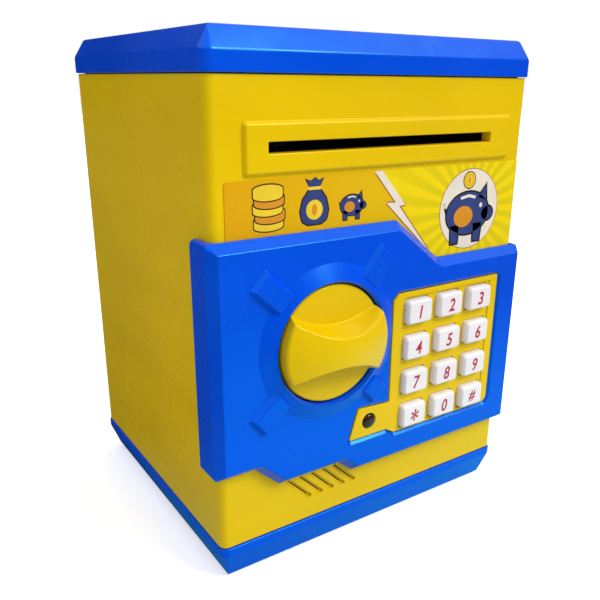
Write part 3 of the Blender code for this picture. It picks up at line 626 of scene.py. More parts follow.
def banner_print(name):
    """The sticker's printed ground: orange on the left, yellow with rays behind the badge on the right."""
    look = new_look(name)
    x, z = look.axis(X), look.axis(Z)
    run, rise = BOLT_TIP[0] - BOLT_TOP[0], BOLT_TIP[1] - BOLT_TOP[1]
    along = look.math("MULTIPLY", look.math("SUBTRACT", z, BOLT_TOP[1]), run)
    across = look.math("MULTIPLY", look.math("SUBTRACT", x, BOLT_TOP[0]), -rise)
    right_side = look.spread(look.math("ADD", across, along), -8.0, 8.0)
    cloud = look.spread(look.noise(35.0), 0.3, 0.7)
    orange = look.mix(cloud, (0.70, 0.33, 0.0), (0.74, 0.40, 0.0))
    orange = look.mix(look.spread(x, -64.0, -5.0), orange, (0.72, 0.45, 0.0))
    from_x, from_z = look.math("SUBTRACT", x, BADGE_X), look.math("SUBTRACT", z, BADGE_Z)
    angle = look.math("ARCTAN2", from_z, from_x)
    rays = look.spread(look.math("SINE", look.math("MULTIPLY", angle, RAYS)), -0.5, 0.5)
    fade = look.spread(look.distance(from_x, from_z), 14.0, 46.0, 0.75, 0.30)
    yellow = look.mix(look.math("MULTIPLY", rays, fade), (0.84, 0.63, 0.0), (0.62, 0.50, 0.0))
    look.set(base_color=look.mix(right_side, orange, yellow), roughness=0.28)
    look.set(specular_tint=(1.0, 0.9, 0.5), normal=look.bump(look.noise(70.0, 2.0), 0.06, 0.0006))
    return look.owner


def cell_wrap(name, nub_side):
    """Battery label: a dark sleeve with a copper-coloured band at the nub end."""
    look = new_look(name)
    reach = look.math("MULTIPLY", look.axis(X), nub_side)
    band = look.spread(reach, 9.6, 9.9)
    bare = look.spread(look.math("ABSOLUTE", reach), 23.6, 23.8)
    scuffs = look.noise(50.0, 5.0, vector=look.stretch(1.0, 4.0, 4.0))
    dark = look.mix(look.spread(scuffs, 0.3, 0.7), (0.012, 0.012, 0.015), (0.03, 0.03, 0.035))
    label = look.mix(band, dark, (0.45, 0.17, 0.05))
    look.set(base_color=look.mix(bare, label, (0.55, 0.55, 0.56)), metallic=look.math("MAXIMUM", bare, band))
    look.set(roughness=look.spread(scuffs, 0.3, 0.7, 0.22, 0.40), normal=look.bump(scuffs, 0.1, 0.0001))
    return look.owner


YELLOW, BLUE = (0.76, 0.51, 0.0), (0.0, 0.066, 0.71)
INKS = {
    "cream": ("cream_ink", (0.82, 0.74, 0.62)),
    "outline": ("brown_ink", (0.40, 0.13, 0.01)),
    "dark": ("dark_ink", (0.030, 0.014, 0.010)),
    "navy": ("navy_ink", (0.035, 0.055, 0.20)),
    "gold": ("gold_ink", (0.86, 0.60, 0.02)),
    "amber": ("amber_ink", (0.70, 0.28, 0.01)),
}
CELLS = {1: 1, 2: -1, 3: 1}

MATERIALS = {
    "yellow": moulded_plastic("yellow_plastic", YELLOW, tint=(1.0, 0.88, 0.35)),
    "blue": moulded_plastic("blue_plastic", BLUE, roughness=0.22, tint=(0.10, 0.80, 1.0), specular=0.7),
    "white": moulded_plastic("key_plastic", (0.80, 0.77, 0.79), roughness=0.32),
    "digit": printed_ink("key_digit_ink", (0.52, 0.008, 0.035)),
    "banner": banner_print("banner_print"),
    **{key: printed_ink(*ink) for key, ink in INKS.items()},
    "lens": lamp_lens("lamp_lens"),
    "black": matt_plastic("black_plastic", (0.025, 0.025, 0.027)),
    "nylon": matt_plastic("gear_nylon", (0.74, 0.73, 0.68), 0.40),
    "chip": matt_plastic("chip_resin", (0.02, 0.02, 0.021), 0.5),
    "steel": brushed_metal("bright_steel", (0.62, 0.62, 0.63), (1.0, 1.0, 90.0)),
    "shaft": brushed_metal("shaft_steel", (0.66, 0.66, 0.67), (90.0, 1.0, 1.0), 0.20),
    "motor_can": brushed_metal("motor_can", (0.58, 0.58, 0.57), (90.0, 2.0, 2.0), 0.34),
    "copper": brushed_metal("copper_wire", (0.72, 0.32, 0.16), (40.0, 40.0, 40.0), 0.30),
    "board": circuit_board("solder_mask"),
    "rubber": rubber("black_rubber"),
    **{f"cell_{n}": cell_wrap(f"cell_wrap_{n}", nub_side) for n, nub_side in CELLS.items()},
}
SLOTS = {
    "yellow": "yellow_plastic", "blue": "blue_plastic", "white": "key_plastic", "digit": "key_plastic",
    "lens": "lamp_lens", "black": "black_plastic", "chip": "black_plastic", "nylon": "gear_plastic",
    "steel": "steel", "shaft": "steel", "copper": "steel", "motor_can": "motor_can", "rubber": "rubber",
    "board": "circuit_board", **dict.fromkeys(["banner", *INKS], "banner_print"),
    **{f"cell_{n}": "cell_wrap" for n in CELLS},
}


# ---------------------------------------------------------------- case, lid and base
FEET = [(x, y) for y in (-40.0, 40.0) for x in (-47.0, 47.0)]
SCREWS = [(x, y) for y in (-50.0, 50.0) for x in (-57.0, 57.0)]
POST_RADIUS, PILOT_RADIUS = 4.5, 1.65
VENT_STARTS = (-41.1, -35.8, -30.6, -25.3, -20.2)
VENT_TOP, VENT_DROP, VENT_WIDTH = 33.8, 8.6, 0.6
GROOVE_OUTSET, GROOVE_DEPTH = 0.8, 1.1
EAR_THICK, HINGE_NOSE, PIN_HOLE = 4.6, 2.4, 1.15


def footprint(outset=0.0, radius=BODY_RADIUS):
    return rectangle(-SIDE - outset, SIDE + outset, FRONT - outset, BODY_BACK + outset, radius)


def front_cutter(corners):
    return plate("cutter", corners, straight(FRONT - 2, FRONT + WALL + 1), steps=3)


def case():
    shell = plate("case", footprint(), rim_path(BODY_LOW, BODY_HIGH, 1.0, 0.4), "Z", steps=12)
    floor_low, floor_high = MONEY_FLOOR
    for room in (straight(floor_high, BODY_HIGH + 1), straight(BODY_LOW - 1, floor_low)):
        carve(shell, plate("room", footprint(-WALL, 1.0), room, "Z", steps=8))
    for screw_at in SCREWS:
        weld(shell, turned("post", screw_at, straight(BODY_LOW + 0.2, floor_low + 1, POST_RADIUS), "Z", 24))
        carve(shell, turned("pilot", screw_at, straight(BODY_LOW - 1, BODY_LOW + 15, PILOT_RADIUS), "Z", 20))
    carve(shell, front_cutter(rectangle(*BODY_OPENING, 1.5)), front_cutter(rectangle(*SLEEVE_WINDOW, 0.4)))
    for start in VENT_STARTS:
        end, low = start + VENT_DROP, VENT_TOP - VENT_DROP
        slit = [(start, VENT_TOP, 0.2), (end, low, 0.2), (end + VENT_WIDTH, low, 0.2),
                (start + VENT_WIDTH, VENT_TOP, 0.2)]
        groove = straight(FRONT - 1, FRONT + GROOVE_DEPTH, -GROOVE_OUTSET)
        carve(shell, front_cutter(slit), plate("groove", slit, groove, steps=3))
    weld(shell, *[hinge_ear(pin) for pin in HINGE_PINS])
    place(shell, "bank", "yellow", "body_shell", bevel=0.3)


def ear_level(pin):
    return low_of(pin, Z) if pin.endswith("lower") else high_of(pin, Z) - EAR_THICK


def hinge_ear(pin):
    """The case's ear at the pin's outer end: an arm from the wall with a round nose and the pin's hole."""
    low = ear_level(pin)
    high = low + EAR_THICK
    centre = (HINGE_X, HINGE_Y)
    arm = slab(SIDE - WALL / 2, HINGE_X, HINGE_Y - HINGE_NOSE, HINGE_Y + HINGE_NOSE, low, high)
    weld(arm, turned("nose", centre, straight(low, high, HINGE_NOSE), "Z", 32))
    return carve(arm, turned("hole", centre, straight(low - 1, high + 1, PIN_HOLE), "Z", 24))


def lid():
    outset = high_of("top_lid", X) - SIDE
    skirt, skirt_wall, thick = WALL + outset + 0.3, 1.6, 2.6
    ceiling, skirt_low = LID_TOP - thick, LID_LOW - LID_SKIRT
    middle = 16.0
    path = round_path([
        (middle, LID_TOP), (LID_SLOPE, LID_TOP), (0, LID_BAND_TOP), (0, LID_LOW), (skirt, LID_LOW),
        (skirt, skirt_low), (skirt + skirt_wall, skirt_low), (skirt + skirt_wall, LID_LOW + 3), (9.0, ceiling),
        (middle, ceiling),
    ], [1.4, 2.2, 0.5, 0.2, 0.3, 0.3, 0.6, 0.6])
    coin_slot = rectangle(-15.0, 15.0, 12.4, 15.6, 1.4)
    funnel = round_path([(-2.2, LID_TOP), (-1.6, LID_TOP), (0, LID_TOP - 1.0), (0, ceiling)], 0.4)
    made = plate("lid", footprint(outset, BODY_RADIUS + outset), path, "Z", [(coin_slot, funnel)], 12)
    place(made, "bank", "blue", "top_lid")


BAY_GAP, BAY_WALL, BAY_CEILING = 0.3, 1.6, 17.6
FOOT_SOCKET, FOOT_SOCKET_TOP = 5.3, 3.1


def base():
    outset = high_of("base_tray", X) - SIDE
    floor = BASE_LOW + 2.4
    path = round_path([
        (BASE_SLOPE + 2.0, BASE_LOW), (BASE_SLOPE, BASE_LOW), (0, BASE_BAND_LOW), (0, BASE_TOP),
        (2.6, BASE_TOP),
        (BASE_SLOPE + 1.8, floor), (BASE_SLOPE + 2.9, floor),
    ], [0.9, 1.0, 0.5, 0.3, 0.5])
    build = Builder("Z")
    outside, inside = build.walls(footprint(outset, BODY_RADIUS + outset), path, 12)
    left, right, front, back = span("battery_cover", X, Y)
    bay = rectangle(left - BAY_GAP, right + BAY_GAP, front - BAY_GAP, back + BAY_GAP, 1.0)
    mouth = round_path([(-0.5, BASE_LOW), (0, BASE_LOW + 0.5), (0, BAY_CEILING)], 0.2)
    hollows = [(build.walls(bay, mouth, 4),
                build.walls(bay, straight(floor, BAY_CEILING + 1.6, -BAY_WALL), 4))]
    for foot in FEET:
        chamfered = [(5.6, BASE_LOW), (FOOT_SOCKET, BASE_LOW + 0.3), (FOOT_SOCKET, FOOT_SOCKET_TOP)]
        hollows.append((build.tube(foot, chamfered, 40), build.tube(foot, straight(floor, 5.2, 7.4), 40)))
    for below, above in hollows:
        build.cap(below[1])
        build.cap(above[1])
    for screw_at in SCREWS:
        hollows.append(screw_way(build, screw_at, floor))
    build.cap(outside, [below[0] for below, above in hollows])
    build.cap(inside, [above[0] for below, above in hollows])
    place(build.object("base"), "bank", "blue", "base_tray")


def screw_way(build, centre, floor):
    """A screw's way through the base: a counterbore from below and a hollow post that meets the case's post."""
    post, counterbore, seat = 5.2, 3.3, 5.0
    way = [(3.6, BASE_LOW), (counterbore, BASE_LOW + 0.3), (counterbore, seat), (PILOT_RADIUS, seat),
           (PILOT_RADIUS, BASE_TOP)]
    below, above = build.tube(centre, way, 32), build.tube(centre, straight(floor, BASE_TOP, post), 32)
    build.cap(above[1], [below[1]])
    return below, above


def screw(name, body, centre, head_low, head_radius, tip, replaces, radius=1.5):
    """A cross-head screw seen from below, with a ridged shank."""
    ridges = []
    pitch, head_height, valley = 0.9, 1.9, radius * 0.78
    level = head_low + head_height
    while level < tip - 2.0:
        ridges += [(valley, level), (radius, level + pitch * 0.45), (valley, level + pitch * 0.6)]
        level += pitch
    head = round_path([(0.6, head_low), (head_radius * 0.75, head_low), (head_radius, head_low + 1.0),
                       (head_radius, head_low + 1.7), (radius * 0.8, head_low + 1.8)], 0.3)
    made = turned(name, centre, [*head, *ridges, (radius * 0.7, tip - 1.2), (0.3, tip)], "Z", 32)
    reach, half = head_radius * 0.62, head_radius * 0.14
    x, y = centre
    for wide, deep in ((reach, half), (half, reach)):
        carve(made, slab(x - wide, x + wide, y - deep, y + deep, head_low - 1, head_low + 1.0))
    place(made, body, "steel", replaces)


def base_screws():
    head_low, head_radius, tip = 2.4, 3.0, BODY_LOW + 13
    for n, centre in enumerate(SCREWS, start=1):
        screw(f"case_screw_{n}", "bank", centre, head_low, head_radius, tip, f"base_screw_{n}")


def feet():
    ring_low, ring_high, top = 0.35, 1.4, 2.9
    path = round_path([
        (1.0, ring_low), (2.2, ring_low), (2.5, 0.0), (4.2, 0.0), (4.9, 0.7), (5.0, ring_high), (5.0, top),
        (1.0, top),
    ], 0.15)
    for n, centre in enumerate(FEET, start=1):
        place(turned(f"foot_{n}", centre, path, "Z", 48), "bank", "rubber", f"rubber_foot_{n}")


def hinge_pins():
    radius, chamfer = 1.0, 0.4
    for pin in HINGE_PINS:
        low, high = span(pin, Z)
        path = [(radius - chamfer, low), (radius, low + chamfer), (radius, high - chamfer),
                (radius - chamfer, high)]
        place(turned(pin + "_rod", (HINGE_X, HINGE_Y), path, "Z", 24), "bank", "steel", pin)


# ---------------------------------------------------------------- note slot and sticker
NOTE_SLOT = (-48.8, 49.1, 153.3, 156.9)


def note_slot_frame():
    left, right, low, high, front, sleeve_back = span("slot_bezel", X, Z, Y)
    back = FRONT - 0.02
    slot = rectangle(*NOTE_SLOT, 0.3)
    face = plate("note_slot_frame", rectangle(left, right, low, high, 1.5),
                 round_path([(4.0, front), (1.1, front), (0, back), (4.0, back)], [1.0, 0.05]),
                 holes=[(slot, rim_path(front, back, -1.2, [0.4, 0.01]))])
    window_left, window_right, window_low, window_high = SLEEVE_WINDOW
    outside = rectangle(window_left + 0.3, window_right - 0.3, window_low + 0.3, window_high - 0.3, 0.3)
    path = straight(back - 0.3, sleeve_back)
    weld(face, plate("sleeve", outside, path, holes=[(slot, path)]))
    place(face, "bank", "yellow", "slot_bezel")


STICKER_FACE = FRONT - 0.25
INK = 0.02


def follow_corner(made):
    """Bends what lies beyond the flat front back round the case's corner."""
    edge = SIDE - BODY_RADIUS
    flat = bmesh.new()
    flat.from_mesh(made.data)
    for cut in (edge, edge + 0.7, edge + 1.3):
        parts = flat.verts[:] + flat.edges[:] + flat.faces[:]
        bmesh.ops.bisect_plane(flat, geom=parts, plane_co=in_row((cut, 0, 0)), plane_no=(1, 0, 0))
    radius = BODY_RADIUS + FRONT - STICKER_FACE
    for vertex in flat.verts:
        over = vertex.co.x / MM - CENTRE.x - edge
        if over > 1e-3:
            vertex.co.y += (radius - math.sqrt(max(radius ** 2 - over ** 2, 0.0))) * MM
    flat.to_mesh(made.data)
    flat.free()
    return made


def sticker():
    left, right, low, high, step = -64.0, 68.0, 110.3, 145.5, 126.8
    shape = [(left, step, 0.8), (left, high, 0.8), (right, high, 0.5), (right, low, 0.5), (25.0, low, 0.5),
             (3.7, step, 0.5)]
    made = plate("sticker", shape, straight(STICKER_FACE, FRONT - 0.05), steps=4)
    place(follow_corner(made), "bank", "banner", "banner_label")


def ink(name, material, layer, shapes, x=0.0, z=0.0, scale=1.0):
    """Printed shapes on the sticker: one thin closed sheet each, at their layer's level."""
    front = STICKER_FACE - INK * (layer + 1)
    build = Builder("Y")
    for shape in shapes:
        fitted = [(x + scale * u, z + scale * v) for u, v in shape]
        build.close(build.chain([build.ring(fitted, level) for level in (front, front + INK * 0.8)]))
    add(build.object(name), "bank", material)


def ellipse(x, z, wide, tall, count=48, start=0.0, sweep=360.0):
    angles = [math.radians(start + sweep * k / count) for k in range(count if sweep == 360.0 else count + 1)]
    return [(x + wide * math.cos(angle), z + tall * math.sin(angle)) for angle in angles]


def stroke(points, width):
    """The outline of a pen stroke of even width along the points."""
    left, right = [], []
    for i, (x, z) in enumerate(points):
        ahead = Vector(points[min(i + 1, len(points) - 1)]) - Vector(points[max(i - 1, 0)])
        normal = Vector((-ahead.y, ahead.x)).normalized() * width / 2
        left.append((x + normal.x, z + normal.y))
        right.append((x - normal.x, z - normal.y))
    return left + right[::-1]


def bolt():
    """The cream lightning bolt with its thin brown edge."""
    shape = [(-6.0, 145.4), (-2.6, 145.4), (8.8, 132.6), (5.9, 132.3), (22.4, 113.2), (-0.2, 134.0),
             (4.2, 133.7)]
    grown = rounded([(x, z, 0.1) for x, z in shape], -0.45, 1)
    ink("bolt_edge", "outline", 0, [[tuple(p) for p in grown if p.y < 145.49]])
    ink("bolt_face", "cream", 1, [shape])


def piggy(name, x, z, scale, layer):
    """A plain piggy bank in profile, about twenty units long, with a round patch on its flank."""
    turns = [0.25 * k for k in range(12)]
    tail = stroke([(-7.6 - 1.6 * math.sin(t * 0.9), 0.8 + 0.9 * t - 1.0 * math.cos(t * 2.2)) for t in turns],
                  0.7)

    def silhouette(grow, ear):
        legs = [[(u - grow, -3.0), (u + 0.4 - grow, -8.0 - grow), (u + 2.8 + grow, -8.0 - grow),
                 (u + 3.2 + grow, -3.0)]
                for u in (-6.2, 2.4)]
        return [ellipse(0.0, 0.0, 8.0 + grow, 5.8 + grow), ellipse(7.6, -0.6, 2.2 + grow, 1.9 + grow, 24), ear,
                *legs]

    lights = [ellipse(4.9, 1.9, 0.6, 0.7, 16), stroke([(-3.0, 4.3), (0.0, 4.8), (2.6, 4.2)], 0.8)]
    outline = [*silhouette(0.5, [(3.1, 4.2), (6.8, 8.2), (7.5, 2.6)]), tail]
    ink(name + "_outline", "dark", layer, outline, x, z, scale)
    ink(name + "_body", "navy", layer + 1, silhouette(0.0, [(3.6, 4.2), (6.6, 7.4), (6.9, 3.0)]), x, z, scale)
    ink(name + "_patch", "amber", layer + 2, [ellipse(-1.6, -0.8, 3.6, 2.9, 32)], x, z, scale)
    ink(name + "_lights", "cream", layer + 3, lights, x, z, scale)


def coin(name, x, z, radius, layer):
    ring = stroke(ellipse(0.0, 0.0, 0.62, 0.62, 40, 0, 359.0), 0.09)
    ink(name + "_edge", "dark", layer, [ellipse(0.0, 0.0, 1.0, 1.0)], x, z, radius)
    ink(name + "_face", "gold", layer + 1, [ellipse(0.0, 0.0, 0.88, 0.88)], x, z, radius)
    ink(name + "_mark", "amber", layer + 2, [ring, ellipse(0.0, 0.0, 0.16, 0.40, 20)], x, z, radius)


def coin_stack(x, z, layer):
    """Five thick coins in a slightly uneven pile, seen from a little above."""
    wide, tall, thick = 5.4, 1.5, 2.1
    for k, shift in enumerate((0.0, 0.5, -0.3, 0.2, -0.2)):
        at = (x + shift, z + thick * 1.15 * k)
        side = ellipse(0, 0, wide, tall, 24, 180, 180) + ellipse(0, thick, wide, tall, 24, 0, 180)
        rim = [(u * 1.07, 1.0 + (v - 1.0) * 1.16) for u, v in side]
        level = layer + 0.9 * k
        ink(f"stack_{k}_edge", "dark", level, [rim], *at)
        ink(f"stack_{k}_side", "amber" if k % 2 else "gold", level + 0.3, [side], *at)
        ink(f"stack_{k}_top", "gold", level + 0.6, [ellipse(0, thick, wide * 0.96, tall * 0.9, 32)], *at)


def money_bag(x, z, layer):
    half = [(2.0, 5.2), (4.6, 2.0), (5.6, -2.0), (4.8, -5.2), (2.6, -6.4)]
    body = [(-u, v, 1.2) for u, v in half] + [(u, v, 1.2) for u, v in half[::-1]]
    neck = [(-1.9, 5.6), (-3.4, 8.6), (-1.2, 7.8), (0.2, 8.9), (1.4, 7.8), (3.3, 8.6), (1.9, 5.6)]
    grown, soft = [[tuple(p) for p in rounded(body, inset, 3)] for inset in (-0.5, 0.0)]
    tie = [(-2.6, 5.0), (-2.6, 6.0), (2.6, 6.0), (2.6, 5.0)]
    ink("bag_outline", "dark", layer, [grown, [(u * 1.16, v + 0.25) for u, v in neck]], x, z)
    ink("bag_body", "navy", layer + 1, [soft, neck], x, z)
    ink("bag_tie", "gold", layer + 2, [tie, ellipse(0.0, -1.6, 3.3, 3.3, 32)], x, z)
    ink("bag_mark", "amber", layer + 3, [ellipse(0.0, -1.6, 1.1, 1.9, 20)], x, z)


def sticker_art():
    bolt()
    coin_stack(-48.5, 130.6, 0)
    money_bag(-31.0, 136.0, 0)
    piggy("small_piggy", -15.5, 134.6, 0.62, 0)
    ink("badge_edge", "outline", 0, [ellipse(BADGE_X, BADGE_Z, BADGE_WIDE + 0.3, BADGE_TALL + 0.3, 64)])
    ink("badge_ground", "cream", 1, [ellipse(BADGE_X, BADGE_Z, BADGE_WIDE, BADGE_TALL, 64)])
    piggy("badge_piggy", BADGE_X - 0.8, BADGE_Z - 1.6, 1.42, 2)
    coin("badge_coin", BADGE_X - 1.0, BADGE_Z + 11.2, 3.4, 2)


# ---------------------------------------------------------------- door
DOOR_CORNERS = [
    (DOOR_LEFT, 45.0, 2.0), (DOOR_LEFT, DOOR_HIGH, 2.0), (4.0, DOOR_HIGH, 1.0), (25.3, 111.0, 1.0),
    (DOOR_RIGHT, 111.0, 2.0), (DOOR_RIGHT, DOOR_LOW, 2.0), (-13.3, DOOR_LOW, 1.0), (-19.6, 36.0, 1.0),
    (-46.2, 36.0, 1.0), (-56.0, 45.0, 1.0),
]
PANEL_CORNERS = [
    (-17.0, 45.4, 0.6), (-13.0, 58.0, 1.2), (2.0, 57.0, 0.4), (2.0, 98.0, 0.8), (4.5, 100.5, 0.8),
    (57.5, 100.5, 0.6), (57.5, 45.0, 1.4), (55.5, 43.0, 1.4), (5.0, 43.0, 0.5), (1.0, 45.4, 0.5),
]
KEY_WELL = (7.2, 53.4, 43.9, 98.6)
SPOKES = ((137, 39.5), (51, 39.5), (220, 39.5), (312, 34.5))
SPOKE_HEIGHT, BOSS_HEIGHT, BOSS_TOP, BOSS_FOOT = 2.0, 2.8, 22.6, 29.4
BARREL = (40.4, 101.6)
LAMP_HOLE, LAMP_RADIUS = 3.0, 2.8


def door_plan():
    """The door seen from above: flat front, side wraps, and a back that follows the case's corners."""
    centre_x, centre_y = SIDE - BODY_RADIUS, FRONT + BODY_RADIUS
    inner = BODY_RADIUS + DOOR_GAP
    quarter = [math.pi / 2 * k / 10 for k in range(11)]
    arc = [(centre_x + inner * math.cos(a), centre_y - inner * math.sin(a)) for a in quarter]
    left = [(DOOR_LEFT, DOOR_WRAP_BACK), (-centre_x - inner, DOOR_WRAP_BACK), *[(-x, y) for x, y in arc]]
    right = [*arc[::-1], (centre_x + inner, HINGE_Y), (DOOR_RIGHT, HINGE_Y)]
    return left + right + [(DOOR_RIGHT, DOOR_FACE - 1), (DOOR_LEFT, DOOR_FACE - 1)]


def spoke(degrees, far):
    """One of the raised bars that brace the knob's boss."""
    near, half = 24.0, 5.0
    cosine, sine = math.cos(math.radians(degrees)), math.sin(math.radians(degrees))
    corners = [
        (KNOB_X + along * cosine - across * sine, KNOB_Z + along * sine + across * cosine, 1.0)
        for along, across in ((near, -half), (far, -half), (far, half), (near, half))
    ]
    top, foot, root = DOOR_FACE - SPOKE_HEIGHT, DOOR_FACE + 0.3, DOOR_FACE + 0.8
    return plate("spoke", corners,
                 round_path([(3.2, top), (1.7, top), (0, foot), (0, root), (3.2, root)], [0.8, 0.1, 0.1]))


def door():
    front = round_path([(6.0, DOOR_FACE), (DOOR_CHAMFER, DOOR_FACE), (0, DOOR_FACE + DOOR_CHAMFER_DEPTH),
                        (0, DOOR_WRAP_BACK + 4)], [0.8, 0.7])
    shell = plate("door", DOOR_CORNERS, front)
    combine(shell, "INTERSECT", [loft("plan", [(door_plan(), DOOR_LOW - 5), (door_plan(), DOOR_HIGH + 5)])])
    knob_centre = (KNOB_X, KNOB_Z)
    before, behind = DOOR_FACE - 4, DOOR_BACK + 2
    hollow = plate("hollow", DOOR_CORNERS, straight(DOOR_FACE + 2.4, DOOR_BACK + 1, DOOR_CHAMFER + 0.4))
    carve(
        hollow,
        turned("keep_round", knob_centre, straight(DOOR_FACE, behind, KNOB_RADIUS + 2.8)),
        plate("keep_panel", PANEL_CORNERS, straight(DOOR_FACE, behind, -1.9)),
    )
    carve(shell, hollow)
    boss_top = DOOR_FACE - BOSS_HEIGHT
    cone = round_path([(20.0, boss_top), (BOSS_TOP, boss_top), (BOSS_FOOT, DOOR_FACE + 0.3),
                       (BOSS_FOOT, DOOR_FACE + 0.7)],
                      [0.7, 0.1])
    weld(shell, *[spoke(degrees, reach) for degrees, reach in SPOKES],
         turned("boss", knob_centre, cone, count=96))
    recess = KNOB_RADIUS + 0.6
    mouth = round_path([(recess + 1.6, before), (recess, DOOR_FACE - 1.6), (recess, KNOB_RECESS_FLOOR)], 0.3)
    lip, window = -1.4, -0.3
    step = round_path([(lip, DOOR_FACE - 3.5), (lip, DOOR_FACE - 0.1), (window, DOOR_FACE + 0.9),
                       (window, behind)], 0.2)
    carve(
        shell,
        turned("recess", knob_centre, mouth, count=96),
        turned("shaft_hole", knob_centre, straight(before, behind, 4.2)),
        plate("panel_window", PANEL_CORNERS, step),
    )
    add_hinge_barrel(shell)
    place(shell, "door", "blue", "door_shell", sharp_degrees=18.0, bevel=0.25, bevel_degrees=60.0)


def add_hinge_barrel(shell):
    low, high = BARREL
    clear, chamfer, depth = 0.3, 0.4, 9
    for pin in HINGE_PINS:
        ear = ear_level(pin)
        notch = (SIDE - 1, HINGE_X + 4, HINGE_Y - 3.3, HINGE_Y + 3)
        carve(shell, slab(*notch, ear - clear, ear + EAR_THICK + clear))
    barrel = [(HINGE_NOSE - chamfer, low), (HINGE_NOSE, low + chamfer), (HINGE_NOSE, high - chamfer),
              (HINGE_NOSE - chamfer, high)]
    weld(shell, turned("barrel", (HINGE_X, HINGE_Y), barrel, "Z", 40))
    for start in (low - 1, high - depth):
        carve(shell,
              turned("pin_hole", (HINGE_X, HINGE_Y), straight(start, start + depth + 1, PIN_HOLE), "Z", 24))


def keypad_panel():
    face = plate("keypad_panel", PANEL_CORNERS, rim_path(PANEL_FACE, PANEL_BACK, 2.0, [0.45, 0.1]))
    carve(face, plate("well", rectangle(*KEY_WELL, 1.0), [(-0.3, PANEL_FACE - 1), (0.2, PANEL_FACE + 0.5)]))
    for name in KEY_LEGENDS:
        hole = around(*spot(name, X, Z), KEY_WIDTH / 2 + 0.3, KEY_HEIGHT / 2 + 0.3, 1.9)
        carve(face, plate("key_hole", hole, straight(PANEL_FACE - 1, PANEL_BACK + 1), steps=4))
    rim = [(LAMP_HOLE + 0.7, PANEL_FACE - 0.6), (LAMP_HOLE, PANEL_FACE + 0.4), (LAMP_HOLE, PANEL_BACK + 1)]
    carve(face, turned("lamp_hole", spot("status_led", X, Z), rim, count=40))
    place(face, "door", "yellow", "keypad_bezel", bevel=0.2)


def key(name, legend):
    x, z = spot(name, X, Z)
    face, end = span(name, Y)
    flange = PANEL_BACK + 0.3
    root = flange + 0.8
    build = Builder("Y")
    cap_path = round_path([
        (3.4, face), (0.9, face + 0.05), (0.2, face + 1.0), (0, flange), (-0.7, flange), (-0.7, root),
        (2.0, root),
        (3.4, root),
    ], [0.6, 0.7, 0.05, 0.05, 0.05, 0.05])
    front, back = build.walls(around(x, z, KEY_WIDTH / 2, KEY_HEIGHT / 2, 1.8), cap_path)
    stem, tip = build.walls(around(x, z, 2.5, 1.4, 0.4), [(0, root), (0, end - 0.2), (0.2, end)], 3)
    build.cap(front)
    build.cap(back, [stem])
    build.cap(tip)
    place(build.object(name + "_cap"), name, "white", name)
    key_legend(name, legend, x, z, face)


LEGEND_SIZE, LEGEND_SLANT, LEGEND_DEPTH, LEGEND_WEIGHT, LEGEND_NARROWING = 7.2, 0.16, 0.06, 0.13, 0.86
LEGEND_SCALES = {"*": 1.5, "#": 0.9}


def key_legend(name, legend, x, z, face):
    """The printed figure, slightly slanted, standing just proud of the key's face."""
    text = bpy.data.curves.new(name + "_text", "FONT")
    text.body = legend
    text.size = LEGEND_SIZE * LEGEND_SCALES.get(legend, 1.0)
    text.shear = LEGEND_SLANT
    text.offset = LEGEND_WEIGHT
    text.extrude = LEGEND_DEPTH / 2
    holder = in_scene(name + "_text", text)
    bpy.context.view_layer.update()
    evaluated = holder.evaluated_get(bpy.context.evaluated_depsgraph_get())
    data = bpy.data.meshes.new_from_object(evaluated)
    bpy.data.objects.remove(holder, do_unlink=True)
    points = [vertex.co.copy() for vertex in data.vertices]
    middle_u, middle_v = [(min(p[k] for p in points) + max(p[k] for p in points)) / 2 for k in (0, 1)]
    for vertex, p in zip(data.vertices, points):
        across, up = (p.x - middle_u) * LEGEND_NARROWING, p.y - middle_v
        vertex.co = in_row((x + across, face - p.z - LEGEND_DEPTH * 0.3, z + up))
    add(in_scene(name + "_legend", data), name, "digit")


def status_lamp():
    front, back = span("status_led", Y)
    rise = PANEL_FACE - front
    quarter = [math.pi / 2 * k / 10 for k in range(1, 11)]
    dome = [(LAMP_RADIUS * math.sin(t), PANEL_FACE - rise * math.cos(t)) for t in quarter]
    path = [*dome, (LAMP_RADIUS, back - 0.2), (LAMP_RADIUS - 0.2, back)]
    place(turned("lamp_dome", spot("status_led", X, Z), path, "Y", 40), "door", "lens", "status_led")


# ---------------------------------------------------------------- knob
RIDGE_TILT = math.radians(-3.0)
DISH_FLOOR, DOME_HEIGHT, DOME_DROP, RIM_SOFT = 6.4, 17.0, 6.2, 0.9
GRIP_HALF, GRIP_FLARE, GRIP_SOFT = 6.0, 62.0, 2.4
KNOB_SHAFT = 4.0


def knob_height(u, v, radius):
    """How far the knob's face stands in front of the case, at (u, v) from its centre, u along the grip."""
    dome = DOME_HEIGHT - DOME_DROP * (radius / KNOB_RADIUS) ** 2
    half_width = GRIP_HALF + u * u / GRIP_FLARE
    down = max(0.0, min(1.0, (abs(v) - half_width + 0.9) / GRIP_SOFT))
    height = dome + (DISH_FLOOR - dome) * down * down * (3 - 2 * down)
    over = max(0.0, radius - (KNOB_RADIUS - RIM_SOFT))
    return height - (RIM_SOFT - math.sqrt(max(RIM_SOFT ** 2 - over ** 2, 0.0)))


